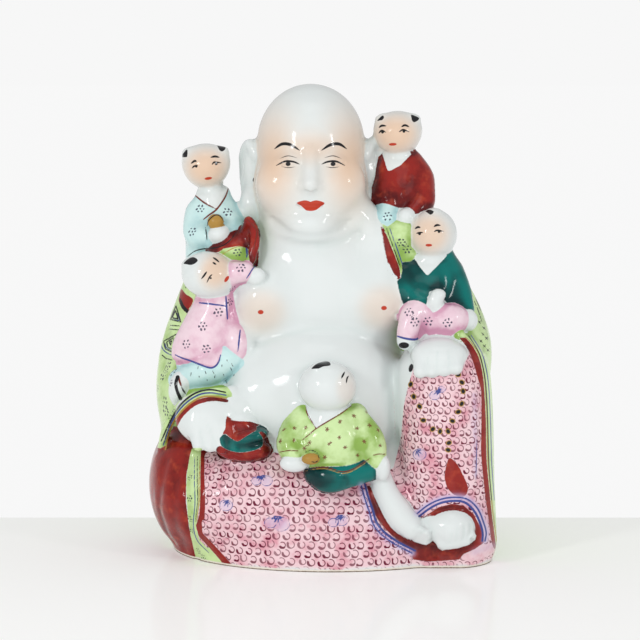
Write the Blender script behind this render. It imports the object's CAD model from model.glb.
"""A seated laughing monk in glazed and enamelled porcelain, with a cloth sack and five climbing children.

The group is modelled as a potter makes it: forms of clay are luted together, the joins are smoothed, the
enamels are painted on the closed surface and the whole is glazed. Lengths are in millimetres of a figure
250 mm tall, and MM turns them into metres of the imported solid.
"""

import math

import bmesh
import bpy
import numpy as np
from mathutils import Euler, Matrix, Vector


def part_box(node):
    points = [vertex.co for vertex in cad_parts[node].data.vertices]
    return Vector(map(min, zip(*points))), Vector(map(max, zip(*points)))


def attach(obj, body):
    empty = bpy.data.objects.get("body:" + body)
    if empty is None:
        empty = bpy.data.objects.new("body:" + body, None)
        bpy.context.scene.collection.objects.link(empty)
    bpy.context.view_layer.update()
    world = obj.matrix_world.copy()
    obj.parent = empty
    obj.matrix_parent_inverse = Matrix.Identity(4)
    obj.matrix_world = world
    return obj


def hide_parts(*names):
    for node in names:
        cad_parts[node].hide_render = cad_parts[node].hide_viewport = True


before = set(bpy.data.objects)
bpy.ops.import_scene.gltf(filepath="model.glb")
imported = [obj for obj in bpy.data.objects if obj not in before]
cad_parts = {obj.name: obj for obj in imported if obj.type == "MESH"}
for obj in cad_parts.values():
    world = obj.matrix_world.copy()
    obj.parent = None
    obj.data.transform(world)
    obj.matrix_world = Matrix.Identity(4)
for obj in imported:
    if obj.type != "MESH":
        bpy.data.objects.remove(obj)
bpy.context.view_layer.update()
LOW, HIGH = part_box("budai_figure")
DRAWN_HEIGHT = 250.0
MM = (HIGH.z - LOW.z) / DRAWN_HEIGHT

# The camera: a long lens, a little above the figure. Its picture is 640 pixels wide and high.
PICTURE = 640
LENS = 202.0
SENSOR = 36.0
EYE_DISTANCE = 1930.0
TILT = math.radians(8.5)
AIM = np.array([-1.06, 0.0, 122.9])
TOWARD_EYE = np.array([0.0, -math.cos(TILT), math.sin(TILT)])
UP_PICTURE = np.array([0.0, math.sin(TILT), math.cos(TILT)])
NEAREST_SEEN_M = 0.1
FARTHEST_SEEN_M = 20.0

COARSE = 2.6  # the side of the quads that the clay is first fused into
FAR = 60.0  # stands for a gap that is out of reach
MARGIN = 3.5  # how far outside its box a form still shapes the clay
FOOT = 0.4  # what lies lower than this is ground flat


# Camera


def place_camera():
    data = bpy.data.cameras.new("camera")
    data.lens = LENS
    data.sensor_width = SENSOR
    data.clip_start = NEAREST_SEEN_M
    data.clip_end = FARTHEST_SEEN_M
    camera = bpy.data.objects.new("camera", data)
    bpy.context.collection.objects.link(camera)
    back = Vector(TOWARD_EYE)
    camera.location = (Vector(AIM) + back * EYE_DISTANCE) * MM
    camera.rotation_euler = (-back).to_track_quat("-Z", "Y").to_euler()
    bpy.context.scene.camera = camera


def seen_at(points):
    """Where points, in millimetres, show in the picture: pixels across and down."""
    away = points - (AIM + TOWARD_EYE * EYE_DISTANCE)
    zoom = PICTURE * LENS / SENSOR / -(away @ TOWARD_EYE)
    return PICTURE / 2 + away[:, 0] * zoom, PICTURE / 2 - (away @ UP_PICTURE) * zoom


place_camera()
bpy.context.scene.view_settings.view_transform = "Standard"


# Forms of clay

clay = []


def spline(points, steps):
    """A smooth path through the points, with steps places for each span."""
    points = np.array(points, float)
    if len(points) == 2:
        share = np.linspace(0, 1, steps + 1)[:, None]
        return points[0] * (1 - share) + points[1] * share
    ends = np.vstack([2 * points[0] - points[1], points, 2 * points[-1] - points[-2]])
    path = []
    for i in range(len(points) - 1):
        a, b, c, d = ends[i : i + 4]
        for t in np.arange(steps) / steps:
            turn = (2 * a - 5 * b + 4 * c - d) * t**2 + (3 * b - a - 3 * c + d) * t**3
            path.append(0.5 * (2 * b + (c - a) * t + turn))
    path.append(points[-1])
    return np.array(path)


def lump(paint, place, radii, turn=(0, 0, 0), blend=2.0, cut=False):
    """An egg of clay, turned in degrees, or with cut the hollow that it leaves."""
    turning = np.array(Euler([math.radians(v) for v in turn]).to_matrix())
    reach = np.sqrt((turning**2) @ np.square(np.array(radii, float)))
    clay.append(
        dict(
            kind="lump",
            paint=paint,
            place=np.array(place, float),
            radii=np.array(radii, float),
            turning=turning,
            blend=blend,
            cut=cut,
            low=np.array(place) - reach,
            high=np.array(place) + reach,
        )
    )


def limb(paint, points, radii, blend=2.0, steps=4):
    """A round roll of clay along a smooth path."""
    path = spline([[*p, r] for p, r in zip(points, radii)], steps)
    clay.append(
        dict(
            kind="limb",
            paint=paint,
            path=path[:, :3],
            radii=path[:, 3],
            blend=blend,
            cut=False,
            low=(path[:, :3] - path[:, 3:]).min(axis=0),
            high=(path[:, :3] + path[:, 3:]).max(axis=0),
        )
    )


def turned(paint, rows, blend=2.0, fold=None):
    """An upright oval form: rows of height, half width, half depth, and the middle across and in depth."""
    rows = np.array(rows, float)
    fine = spline(rows, 6)
    half = fine[:, 1:3].max(axis=0)
    middle = fine[:, 3:5]
    clay.append(
        dict(
            kind="turned",
            paint=paint,
            rows=rows,
            fine=fine,
            fold=fold,
            blend=blend,
            cut=False,
            low=np.array([*(middle.min(axis=0) - half), rows[0, 0]]),
            high=np.array([*(middle.max(axis=0) + half), rows[-1, 0]]),
        )
    )


def oval_gap(offset, radii):
    """How far offsets lie outside an oval of these radii, in millimetres."""
    near = np.sqrt(np.sum((offset / radii) ** 2, axis=1))
    steep = np.sqrt(np.sum((offset / radii**2) ** 2, axis=1))
    return near * (near - 1.0) / np.maximum(steep, 1e-6)


def path_gap(points, path, radii=None):
    """How far points lie from a path, or from the round roll along it."""
    gap = np.full(len(points), FAR)
    for i in range(len(path) - 1):
        run = path[i + 1] - path[i]
        share = np.clip((points - path[i]) @ run / max(run @ run, 1e-9), 0, 1)
        off = np.linalg.norm(points - path[i] - share[:, None] * run, axis=1)
        if radii is not None:
            off = off - (radii[i] + share * (radii[i + 1] - radii[i]))
        gap = np.minimum(gap, off)
    return gap


def form_gap(form, points):
    """How far points lie outside one form."""
    if form["kind"] == "lump":
        return oval_gap((points - form["place"]) @ form["turning"], form["radii"])
    if form["kind"] == "limb":
        return path_gap(points, form["path"], form["radii"])
    fine = form["fine"]
    height = points[:, 2]
    wide, deep, across, along = (np.interp(height, fine[:, 0], fine[:, i]) for i in (1, 2, 3, 4))
    offset = points[:, :2] - np.stack([across, along], axis=1)
    if form["fold"]:
        angle = np.arctan2(offset[:, 0], -offset[:, 1])
        swell = form["fold"](angle, height)
        wide, deep = wide + swell, deep + swell
    side = oval_gap(offset, np.stack([wide, deep], axis=1))
    over = np.maximum(height - fine[-1, 0], fine[0, 0] - height)
    return smooth_max(side, over, 4.0)


def smooth_min(a, b, width):
    near = np.maximum(width - np.abs(a - b), 0) / width
    return np.minimum(a, b) - near * near * width / 4


def smooth_max(a, b, width):
    return -smooth_min(-a, -b, width)


def smooth_step(value, low, high):
    share = np.clip((value - low) / (high - low), 0, 1)
    return share * share * (3 - 2 * share)


# Robe and body

BACK_FOLDS = 9
BACK_FOLD_DEPTH = 2.2


def back_folds(angle, height):
    """Soft upright folds in the back of the robe, fading at the foot and the shoulders."""
    behind = np.maximum(0, -np.cos(angle))
    fade = smooth_step(height, 0, 30) * (1 - smooth_step(height, 130, 180))
    return BACK_FOLD_DEPTH * behind * fade * np.cos(BACK_FOLDS * angle + height / 60)


# Rows of height, half width, half depth, and the middle across and in depth
ROBE_ROWS = [
    [-6, 82.5, 65, 4.5, -3],
    [3, 85.5, 68, 4.5, -3],
    [26, 88.5, 67, 2.5, -2],
    [48, 89, 60, 1, 4],
    [74, 86, 48, 1, 15],
    [104, 82, 42, 1, 19],
    [130, 76, 39, 1, 18],
    [150, 65, 33, 0, 15],
    [168, 53, 25, -1, 15],
    [182, 35, 18, -3, 12],
]
BODY_ROWS = [
    [100, 44, 26, 0, -2],
    [116, 47, 32, 0, -3],
    [132, 47, 34, 0, -4],
    [150, 45, 33, 0, -3],
    [164, 38, 28, -3, -4],
    [175, 29, 23, -6, -5],
]
turned("robe", ROBE_ROWS, 6.0, back_folds)
turned("skin", BODY_ROWS, 5.0)
for side in (-1, 1):
    lump("skin", (side * 30, -24.5, 137.5), (18, 16, 16.5), (0, 0, side * 6), 9.0)
lump("skin", (-3, -15, 78), (49, 44, 48.5), blend=1.6)
lump("skin", (-2, -15, 96), (45, 37, 29.5), blend=9.0)
lump("skin", (-5, -11, 172), (27, 22, 12), blend=5.0)

# Head, long ears, nose and lips

HEAD_X = -6.0
lump("skin", (HEAD_X, -1, 219), (28.5, 30, 31), blend=5.0)
lump("skin", (HEAD_X, -7, 194), (29.5, 28, 26), blend=12.0)
lump("skin", (HEAD_X, -31, 178.5), (11, 8, 7.2), blend=9.0)
for side in (-1, 1):
    lump("lid", (HEAD_X + side * 10.5, -38.5, 211.5), (10, 5.4, 4.6), (0, side * 6, 0), 7.0, True)
    lump("skin", (HEAD_X + side * 15, -25.5, 199), (12, 9, 10.5), blend=13.0)
    lump("skin", (HEAD_X + side * 11.0, -29.0, 211.2), (6.6, 4.4, 3.5), (0, side * 5, 0), 3.2)
    ear = HEAD_X + side * 30.5
    lump("ear", (ear, 3, 201), (5.6, 9, 19), (0, side * 3, side * 14), 5.0)
    rim = [[-1, -5, 212], [2, -2, 218], [5, 4, 212], [5, 4, 200], [3, -1, 189]]
    limb("ear", [[ear + side * x, y, z] for x, y, z in rim], [2.2, 2.8, 2.8, 2.6, 3.0], 2.4)
    lump("ear", (ear + side * 1.4, -4, 185), (6.2, 6.4, 9.4), blend=3.0)
bridge = [[HEAD_X, -30, 216], [HEAD_X, -34.6, 206], [HEAD_X, -37.4, 200.6]]
limb("skin", bridge, [2.6, 3.4, 4.2], 4.0)
for side in (-1, 1):
    lump("skin", (HEAD_X + side * 4.5, -34.8, 199.4), (2.8, 3.0, 2.4), blend=2.0)
    lump("skin", (HEAD_X + side * 2.3, -38.6, 196.8), (1.2, 1.2, 0.8), blend=1.0, cut=True)
    lump("skin", (HEAD_X + side * 2.9, -33.4, 190.2), (4.8, 2.8, 1.3), (0, side * 9, 0), 1.6)
lump("skin", (HEAD_X, -33.2, 187.4), (5.2, 3.0, 1.6), blend=1.6)

# Sleeves, skirt, hands, legs and feet

limb("robe", [[-45, 8, 158], [-65.5, 8, 98], [-60, -30, 80]], [22, 23, 17], 4.0, 8)
lump("robe", (-71, -4, 78), (17, 22, 27), blend=8.0)
limb("robe", [[44, 8, 160], [65.5, 3, 117], [63, -26, 112]], [21, 23, 18], 4.0, 8)
lump("robe", (74, -10, 101), (16.5, 22, 26), blend=8.0)

lump("skirt", (-28, -29, 32), (60, 39, 33), blend=6.0)
limb("skirt", [[64, -35, 96], [66, -40, 50], [66, -38, 12]], [25, 25, 27], 6.0, 8)
lump("skirt", (66, -73, 12), (19, 14, 24), blend=3.0, cut=True)

lump("skin", (-61, -50, 77), (16.5, 12, 13.5), (0, 20, 0), 1.6)
lump("skin", (-51, -48, 81), (13, 9, 9), (0, 15, 0), 4.0)
for i in range(4):
    x = -67 + i * 6.2
    limb("skin", [[x, -57.5, 76 - i * 0.4], [x + 2.2, -61, 65.5 - i * 0.6]], [3.8, 3.0], 3.0)
lump("skin", (61.5, -48, 111.2), (15.2, 13, 9.4), blend=1.6)
for i in range(4):
    x = 51.5 + i * 6.4
    limb("skin", [[x, -53.5, 112], [x - 0.5, -59.5, 104.2 + i * 0.8]], [3.8, 3.3], 3.0)

SHIN = [[30.5, -56, 49], [33.8, -58, 39], [40, -61, 28.8], [46.6, -64, 22.4]]
limb("skin", SHIN, [5.6, 6.8, 7.8, 6.2], 1.6, 6)
lump("skin", (68.1, -60, 21.8), (12.2, 12.5, 11.5), (0, 14, 0), 1.6)
lump("skin", (60.5, -59, 22.5), (9, 9.5, 7.5), (0, 20, 0), 4.0)
for i in range(5):
    toe = [[48.2 + i * 0.2, -68 + i, 23.8 - i * 1.7], [54.6, -69.4 + i, 21 - i * 1.5]]
    limb("skin", toe, [2.2, 1.8], 0.7)
    x = 62 + i * 4.1
    limb("skin", [[x, -66.0, 16.5 + i * 0.4], [x + 0.6, -68, 13 + i * 0.9]], [2.5, 2.1], 2.4)

# Sack with its tied mouth

lump("sack", (-67, -10, 36), (26, 40, 37), blend=3.0)
lump("ruffle", (-41.5, -54, 62.8), (15, 9, 7), (0, 4, 0), 1.4)
lump("ribbon", (-41, -56, 69), (13, 8, 4.5), (0, -10, 0), 1.0)
lump("mouth", (-43, -53, 74.5), (9.5, 7, 6.5), (0, 25, 0), 1.0)

# Shoulders and rolled edges of the robe

lump("robe", (-47, -16, 159), (14, 14, 14), blend=3.0)
lump("robe", (49, -13, 159), (12, 14, 18), blend=3.0)
lump("robe", (43, -17, 172), (10, 12, 9), blend=4.0)
limb("skin", [[23, -17, 179], [28.5, -21, 168], [32, -24, 156]], [7.5, 7.5, 7.5], 12.0)
LEFT_COLLAR = [
    [-38.6, -20, 179.2], [-36.2, -24, 176.4], [-35.3, -27, 172], [-35.6, -29.5, 167], [-37.4, -31, 160]
]
RIGHT_COLLAR = [[31.5, -21, 178], [33.5, -25, 170], [37, -29, 160], [40, -31, 151]]
LEFT_CUFF = [
    [-85, -22, 58], [-82.5, -35, 69], [-76, -44, 82], [-66, -50, 89.5], [-56, -51, 92], [-49, -49, 91.5]
]
RIGHT_BORDER = [[73, -44, 121], [82, -40, 108], [87, -34, 86], [89, -30, 50], [90, -24, 14]]
for path, radius in ((LEFT_COLLAR, 2.6), (RIGHT_COLLAR, 2.0), (LEFT_CUFF, 2.6), (RIGHT_BORDER, 2.6)):
    limb("robe", path, [radius] * len(path), 3.0)

lump("robe", (-38.8, -19, 170.5), (4.2, 6, 7), (0, -12, 0), 4.0)
lump("skin", (-36, -35.5, 85), (14, 14, 19), blend=12.0)

# Children


def child_head(paint, place, radii=(12.8, 12.2, 12.6), tilt=0, tufts=(), flat=False):
    """A round head, or one flat on top with corners, and the knots of hair on it."""
    x, y, z = place
    if flat:
        lump(paint, (x, y - 0.5, z - 3.0), (10.2, 10.8, 9.0), (0, tilt, 0), 1.2)
        lump(paint, (x, y, z + 2.6), (12.6, 11.6, 9.2), (0, tilt, 0), 7.0)
    else:
        lump(paint, place, radii, (0, tilt, 0), 1.6)
    for tuft in tufts:
        lump(paint, (x + tuft[0], y + tuft[1], z + tuft[2]), (2.4, 2.8, 1.6), blend=4.0)


def sleeve(paint, points, radii, hand, hand_radii):
    """A child's arm in its sleeve, and the closed hand."""
    limb(paint, points, radii, 4.5, 5)
    lump("child_skin", hand, hand_radii, blend=1.0)


def jacket(paint, x, y, rows):
    """A child's body in its jacket: rows of height, half width, half depth and shift across."""
    turned(paint, [[z, wide, deep, x + shift, y] for z, wide, deep, shift in rows], 1.6)


# Child A sits on the left shoulder
rows = [[152, 15, 14, 0], [166, 15, 15, 0], [179, 14.5, 13, 0], [188, 10.5, 9.5, 0], [196, 8, 8, 0]]
jacket("jacket_a", -58, -2, rows)
arm = [[-67, -4, 182], [-67, -11, 171], [-59, -18, 170]]
sleeve("jacket_a", arm, (5.4, 6.4, 5.4), (-55, -22, 172), (5.2, 4.8, 4.8))
limb("jacket_a", [[-50, -4, 182], [-48, -11, 175], [-52, -17, 172]], (5.4, 6.0, 5.2), 4.5)
child_head("face_a", (-61.8, -2, 206.5), tufts=[[-9.6, -2, 7.4], [9.6, -2, 8.0]], flat=True)
lump("peach", (-56.3, -22, 178.8), (4.4, 3.8, 4.2), blend=0.8)

# Child B climbs up the left side
rows = [
    [105, 18, 12.5, -4], [115, 18.5, 13, -2.5], [127.5, 14.5, 12.5, -0.5], [138, 11, 10, 1.5],
    [146, 8, 8, 0],
]
jacket("jacket_b", -58, -27, rows)
arm = [[-55, -28, 143], [-48, -33, 152], [-41, -36, 154]]
sleeve("jacket_b", arm, (6.0, 6.2, 5.2), (-34.8, -36, 151.4), (5.4, 4.2, 4.8))
lump("jacket_b", (-46, -36, 116), (5, 6, 9), (0, -10, 0), 2.0)
limb("trousers_b", [[-50.5, -36, 107.5], [-61, -36, 101], [-75, -30, 95]], [7.6, 8.8, 6.6], 1.2)
lump("shoe_b", (-76, -36, 91), (5.2, 5.4, 9.5), (0, 8, 0), 1.6)
child_head("face_b", (-59.8, -31, 151.6), (14.4, 13, 12.4), 12, [[-11, -2, 6.0]])

# The side of the belly that child B leans on
lump("skin", (-40.5, -26, 111), (9, 12, 18), blend=9.0)

# Child C sits in the lap
rows = [[53, 17, 12, 1], [60, 20.5, 14, 0], [71, 20.5, 13.5, 0], [80, 14, 10.5, 0], [88, 8, 8, -1]]
jacket("jacket_c", 4.5, -57, rows)
left_arm = [[-9, -57, 80], [-16.5, -61, 68], [-14, -66, 60]]
sleeve("jacket_c", left_arm, (6.2, 7.4, 6.0), (-14.5, -69, 57.6), (7.6, 4.8, 4.6))
right_arm = [[18, -57, 80], [25.6, -60, 68], [27.5, -61, 58]]
sleeve("jacket_c", right_arm, (6.2, 7.4, 6.2), (31.6, -62.5, 54), (4.2, 4.8, 7.2))
lump("ingot", (-5.8, -73, 60.8), (4.7, 3.2, 3.0), blend=0.8)
limb("trousers_c", [[-2, -62, 51], [4, -65, 49.5], [13, -64, 51], [23, -61, 53]], [7.4, 8.4, 7.4, 6.8], 1.2)
child_head("face_c", (2.9, -60, 96.8), (15, 13.5, 13.4), 0, [[-5, -5, 10.6]])

# Child D sits on the right shoulder
rows = [
    [177, 14.5, 13, 0], [186, 16, 14, 0], [198, 16, 13, 0], [205.5, 14.5, 11, -1], [211, 11.5, 9.5, -1.8],
    [216, 8, 8, -2.5],
]
jacket("jacket_d", 44, -1, rows)
arm = [[53, -5, 200], [54, -12, 189], [49, -17, 183]]
sleeve("jacket_d", arm, (5.4, 6.2, 5.6), (44.8, -21, 181), (5.0, 4.8, 5.0))
limb("jacket_d", [[35, -4, 201], [34, -10, 193], [37, -14, 188]], (5.2, 6.0, 5.4), 4.5)
limb("trousers_d", [[38, -8, 186], [35.5, -15, 183.5], [34.6, -19, 180.5]], (5.4, 5.6, 5.4), 1.2)
child_head("face_d", (40.4, -2, 223.9), tufts=[[-9, -2, 8.0], [9, -2, 8.0]], flat=True)

# Child E sits on the right arm
rows = [
    [122, 16, 14, 1], [138, 17, 15, 0], [150, 15.5, 13, 0], [158, 13, 10, -0.5], [162, 10.6, 9, 0],
    [167, 8, 8, 0],
]
jacket("jacket_e", 59.5, -22, rows)
arm = [[51, -23, 153], [46.8, -26, 150], [44.4, -30, 144.5], [48, -33, 140], [54, -36, 137.5]]
sleeve("jacket_e", arm, (6.0, 6.6, 6.6, 6.2, 5.6), (59.4, -40, 138.8), (4.3, 4.4, 5.6))
lump("child_skin", (61.6, -39.5, 142), (3.8, 3.8, 3.4), blend=2.0)
arm = [[69, -22, 152], [73, -26, 142], [75, -31, 133]]
sleeve("jacket_e", arm, (5.4, 6.0, 5.6), (77, -35.5, 128), (5.2, 5, 5.8))
leg = [[60, -33, 130], [49, -39, 132.5], [45.6, -42, 125], [44.6, -43, 118.5]]
limb("trousers_e", leg, [7.4, 6.6, 6.0, 5.4], 1.2)
lump("trousers_e", (58.5, -38, 127.5), (6.5, 6.5, 6.5), blend=3.5)
lump("trousers_e", (67, -39.5, 129), (9.6, 7.6, 8.2), (0, -12, 0), 3.5)
child_head("face_e", (59.0, -24, 172.4), (12.4, 12.4, 13.2), 0, [[0, -1, 11.4]])


# Grooves and ridges

creases = []


def crease(points, width, depth):
    """A soft groove pressed along a path, or with a depth below nothing a soft ridge drawn out."""
    path = spline(points, 5)
    creases.append((path, width, depth, path.min(axis=0) - 3 * width, path.max(axis=0) + 3 * width))


# Paths on the body, and on the head from its middle
BELLY_TOP = [
    [-42, -28, 104], [-39, -32, 111], [-32, -36, 117.5], [-20, -38, 122.5], [-6, -38.5, 125.5],
    [8, -38.5, 125.5], [21, -38, 122.5], [32, -36, 117.5], [39, -31, 110],
]
UNDER_JOWLS = [
    [-38, -14, 182], [-30, -26, 172], [-16, -33, 168], [-4, -34, 167], [10, -32, 169], [20, -24, 174],
    [27, -12, 184],
]
UNDER_CHIN = [[-26, -26, 180], [-16, -35, 174], [-6, -38, 172.5], [4, -35, 174], [14, -26, 180]]
BETWEEN_LIPS = [[-9, -33, 190.6], [-4, -36.5, 188.8], [0, -37, 188.5], [4, -36.5, 188.8], [9, -33, 190.6]]
BELOW_LIPS = [[-5, -34, 183.4], [0, -35, 183.0], [5, -34, 183.4]]
BESIDE_MOUTH = [[7, -35, 199.5], [11.5, -34, 194], [12, -33, 187.5]]
BELOW_EYE = [[5.4, -34, 210.8], [11.5, -34.4, 209.4], [17.4, -31, 211]]


def on_head(path, side=1):
    """A path drawn from the middle of the head, on its right side or, with -1, on its left."""
    return [[HEAD_X + side * x, y, z] for x, y, z in path]


crease(BELLY_TOP, 1.7, 1.9)
crease(UNDER_JOWLS, 2.6, 1.4)
crease(UNDER_CHIN, 2.4, 0.8)
crease(on_head(BETWEEN_LIPS), 0.8, 0.9)
crease(on_head(BELOW_LIPS), 1.8, 0.5)
for side in (-1, 1):
    crease(on_head(BESIDE_MOUTH, side), 1.3, 0.6)
    crease(on_head(BELOW_EYE, side), 0.7, 0.6)


# Grooves and ridges given by where they show: width and depth, then pixels of the picture
SEEN_CREASES = [
    (1.2, 0.7, [(192.9, 186.5), (200.6, 192), (211.8, 193.4), (221.6, 190.6), (226.5, 185)]),
    (1.2, 0.7, [(382, 152), (388, 157), (399.2, 159), (407.6, 157.4), (413.9, 152)]),
    (1.2, 0.7, [(415, 260.5), (424.6, 264), (435.5, 263.2), (446.4, 258)]),
    (1.5, 0.9, [(301.2, 429.6), (299, 443.2), (303.5, 452.3)]),
    (1.5, 0.9, [(355.5, 427.4), (358.9, 445.5), (362.3, 456.8)]),
    (
        0.8, 0.5, [(304.6, 470.5), (312, 468.5), (323.6, 467.6), (331.2, 469.2), (338.9, 472), (345, 472.4),
        (361.8, 464.5), (370.2, 459)]
    ),
    (0.7, 0.45, [(278.6, 453.4), (297.8, 452.3)]),
    (0.7, 0.45, [(373.7, 455.7), (385, 454.5)]),
    (0.7, 0.4, [(306.9, 408.1), (310.5, 420), (315.9, 428.9)]),
    (0.7, 0.4, [(303.5, 439.8), (315.9, 428.9), (335, 417), (353.3, 403.6)]),
    (1.6, 0.8, [(348.8, 486.2), (344.2, 474.9)]),
    (3.0, -0.9, [(222, 482), (236, 494), (252, 510)]),
    (3.5, -0.7, [(340, 505), (355, 530), (371, 551)]),
    (2.2, -0.6, [(474, 390), (473, 440), (472, 488)]),
    (4.0, 0.8, [(230, 503), (248, 530), (262, 556)]),
    (4.0, 0.7, [(296, 490), (326, 530), (346, 560)]),
    (3.5, 0.5, [(430, 392), (428, 430), (432, 480)]),
    (
        1.7, -0.8, [(417, 516), (431, 508.5), (443, 504.5), (456, 501), (467, 501.5), (475.5, 510),
        (481.5, 523), (484, 537)]
    ),
    (1.6, -0.6, [(361, 486), (366, 500), (371.6, 515), (378, 528), (389, 540), (402, 548)]),
    (1.3, 0.8, [(367.5, 487), (374, 503), (380.5, 521), (391, 534), (404, 541), (415, 547)]),
    (2.2, 1.5, [(190, 458), (186.5, 473.7), (186, 501), (189, 527), (197, 558)]),
    (1.5, -0.5, [(203, 458), (203, 490), (200, 518), (212, 545), (226, 561)]),
    (3.5, 0.9, [(165, 464), (158, 500), (168, 543)]),
    (3.0, 0.7, [(178, 472), (173, 510), (181, 548)]),
    (1.0, 0.7, [(167, 446), (171.5, 428), (183.5, 411), (197.1, 401), (209.4, 398), (226.7, 399.5)]),
    (0.8, 0.6, [(205.8, 226.3), (206.9, 241.9)]),
    (0.6, 0.3, [(192.4, 193.2), (204, 202.5), (215.4, 208.7)]),
    (0.6, 0.3, [(229.2, 184.5), (225.6, 196.2), (216.9, 209), (207, 216)]),
    (0.9, 0.5, [(186, 257.5), (195, 251.1), (203.3, 248.9), (214.1, 247.9), (229.4, 240.9), (237.5, 230.4)]),
    (0.8, 0.5, [(182.9, 359), (197.1, 363.4), (211.4, 367.7), (217.6, 365.1), (219.6, 359)]),
    (1.2, 0.6, [(235.9, 293.2), (231, 306), (228, 320)]),
    (2.4, 0.8, [(413.4, 177.1), (406.7, 195), (393, 203)]),
    (2.2, 0.8, [(407, 275), (417, 288), (428, 296)]),
    (2.2, 0.7, [(452, 272), (454, 288), (448, 299)]),
    (4.0, 0.9, [(166, 330), (163, 370), (166, 410)]),
    (0.5, 0.6, [(413.9, 529.3), (417.8, 536)]),
    (0.5, 0.6, [(417.1, 526.6), (421.6, 533.8)]),
    (0.8, 0.5, [(451, 532), (450, 542.5)]),
    (0.8, 0.5, [(457.8, 529), (457, 541)]),
    (0.8, 0.5, [(464.1, 526.5), (463.4, 539.5)]),
    (0.8, 0.5, [(470, 525), (470, 537)]),
]


def on_surface(places):
    """Where places of the picture lie on the clay: of the points that show near each, those in front."""
    found = []
    for place in places:
        chosen = near_spots([place], 5)
        chosen = chosen[canvas["away"][chosen] < 0.3]
        chosen = chosen[canvas["points"][chosen, 1] < canvas["points"][chosen, 1].min() + 7]
        weight = 1 / (np.linalg.norm(canvas["spots"][chosen] - np.array(place), axis=1) + 0.2) ** 2
        found.append(weight @ canvas["points"][chosen] / weight.sum())
    return found


def press_seen_creases():
    """Adds the grooves and ridges that are given by where they show."""
    for width, depth, places in SEEN_CREASES:
        crease(on_surface(places), width, depth)


# From forms to one closed surface


def near_forms(points, margin=MARGIN):
    """For each form, the points that it may shape."""
    lists = []
    for form in clay:
        reach = margin + form["blend"]
        inside = np.all((points > form["low"] - reach) & (points < form["high"] + reach), axis=1)
        lists.append(np.flatnonzero(inside))
    for *_, low, high in creases:
        lists.append(np.flatnonzero(np.all((points > low) & (points < high), axis=1)))
    return lists


def clay_gap(points, near):
    """How far points lie outside the luted clay."""
    total = np.full(len(points), FAR)
    for form, chosen in zip(clay, near):
        if not len(chosen):
            continue
        gap = form_gap(form, points[chosen])
        if form["cut"]:
            total[chosen] = smooth_max(total[chosen], -gap, form["blend"])
        else:
            total[chosen] = smooth_min(total[chosen], gap, form["blend"])
    for (path, width, depth, *_), chosen in zip(creases, near[len(clay) :]):
        total[chosen] += depth * np.exp(-((path_gap(points[chosen], path) / width) ** 2))
    return total


def add_form(mesh, form):
    """Adds one form's own closed mesh, a little full, to be fused with the rest."""
    if form["kind"] == "turned":
        rows = form["rows"]
        ring = bmesh.ops.create_circle(mesh, cap_ends=True, segments=48, radius=1.0)["verts"]
        face = ring[0].link_faces[0]
        for i, (height, wide, deep, across, along) in enumerate(rows):
            if i:
                raised = bmesh.ops.extrude_face_region(mesh, geom=[face])["geom"]
                if i > 1:
                    bmesh.ops.delete(mesh, geom=[face], context="FACES_ONLY")
                face = next(item for item in raised if isinstance(item, bmesh.types.BMFace))
            for k, vert in enumerate(face.verts):
                turn = 2 * math.pi * k / len(face.verts)
                x, y = wide * math.cos(turn) + across, deep * math.sin(turn) + along
                vert.co = Vector((x, y, height)) * MM
        return
    if form["kind"] == "lump":
        grown = Matrix.Diagonal([*(form["radii"] * MM), 1.0])
        shape = Matrix.Translation(Vector(form["place"]) * MM) @ Matrix(form["turning"]).to_4x4() @ grown
        bmesh.ops.create_icosphere(mesh, subdivisions=3, radius=1.0, matrix=shape)
        return
    path, radii = form["path"], form["radii"]
    length = np.concatenate([[0], np.cumsum(np.linalg.norm(np.diff(path, axis=0), axis=1))])
    balls = max(2, int(length[-1] / (0.45 * radii.min())))
    for far in np.linspace(0, length[-1], balls):
        middle = [np.interp(far, length, path[:, axis]) * MM for axis in range(3)]
        radius = np.interp(far, length, radii) * MM
        bmesh.ops.create_icosphere(mesh, subdivisions=2, radius=radius, matrix=Matrix.Translation(middle))


def fused_clay():
    """All forms' meshes, fused into one closed skin of even quads."""
    rough = bmesh.new()
    piece = bpy.data.meshes.new("one_form")
    for form in clay:
        if form["cut"]:
            continue
        small = bmesh.new()
        add_form(small, form)
        small.to_mesh(piece)
        small.free()
        rough.from_mesh(piece)
    mesh = bpy.data.meshes.new("rough_clay")
    rough.to_mesh(mesh)
    rough.free()
    block = bpy.data.objects.new("rough_clay", mesh)
    bpy.context.collection.objects.link(block)
    fuse = block.modifiers.new("fuse", "REMESH")
    fuse.mode = "VOXEL"
    fuse.voxel_size = COARSE * MM
    fused = bpy.data.meshes.new_from_object(block.evaluated_get(bpy.context.evaluated_depsgraph_get()))
    bpy.data.objects.remove(block)
    return fused


def corners(mesh):
    places = np.empty(len(mesh.vertices) * 3, np.float32)
    mesh.vertices.foreach_get("co", places)
    return places.reshape(-1, 3).astype(float) / MM


def settle(points, near, rounds):
    """Moves points on to the surface of the luted clay."""
    step = 0.05
    for _ in range(rounds):
        gap = clay_gap(points, near)
        slope = np.empty_like(points)
        for axis in range(3):
            nudged = points.copy()
            nudged[:, axis] += step
            slope[:, axis] = (clay_gap(nudged, near) - gap) / step
        steep = np.maximum(np.sum(slope**2, axis=1), 0.3)
        move = slope * np.clip(gap / steep, -2, 2)[:, None]
        points = points - move
    return points


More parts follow.
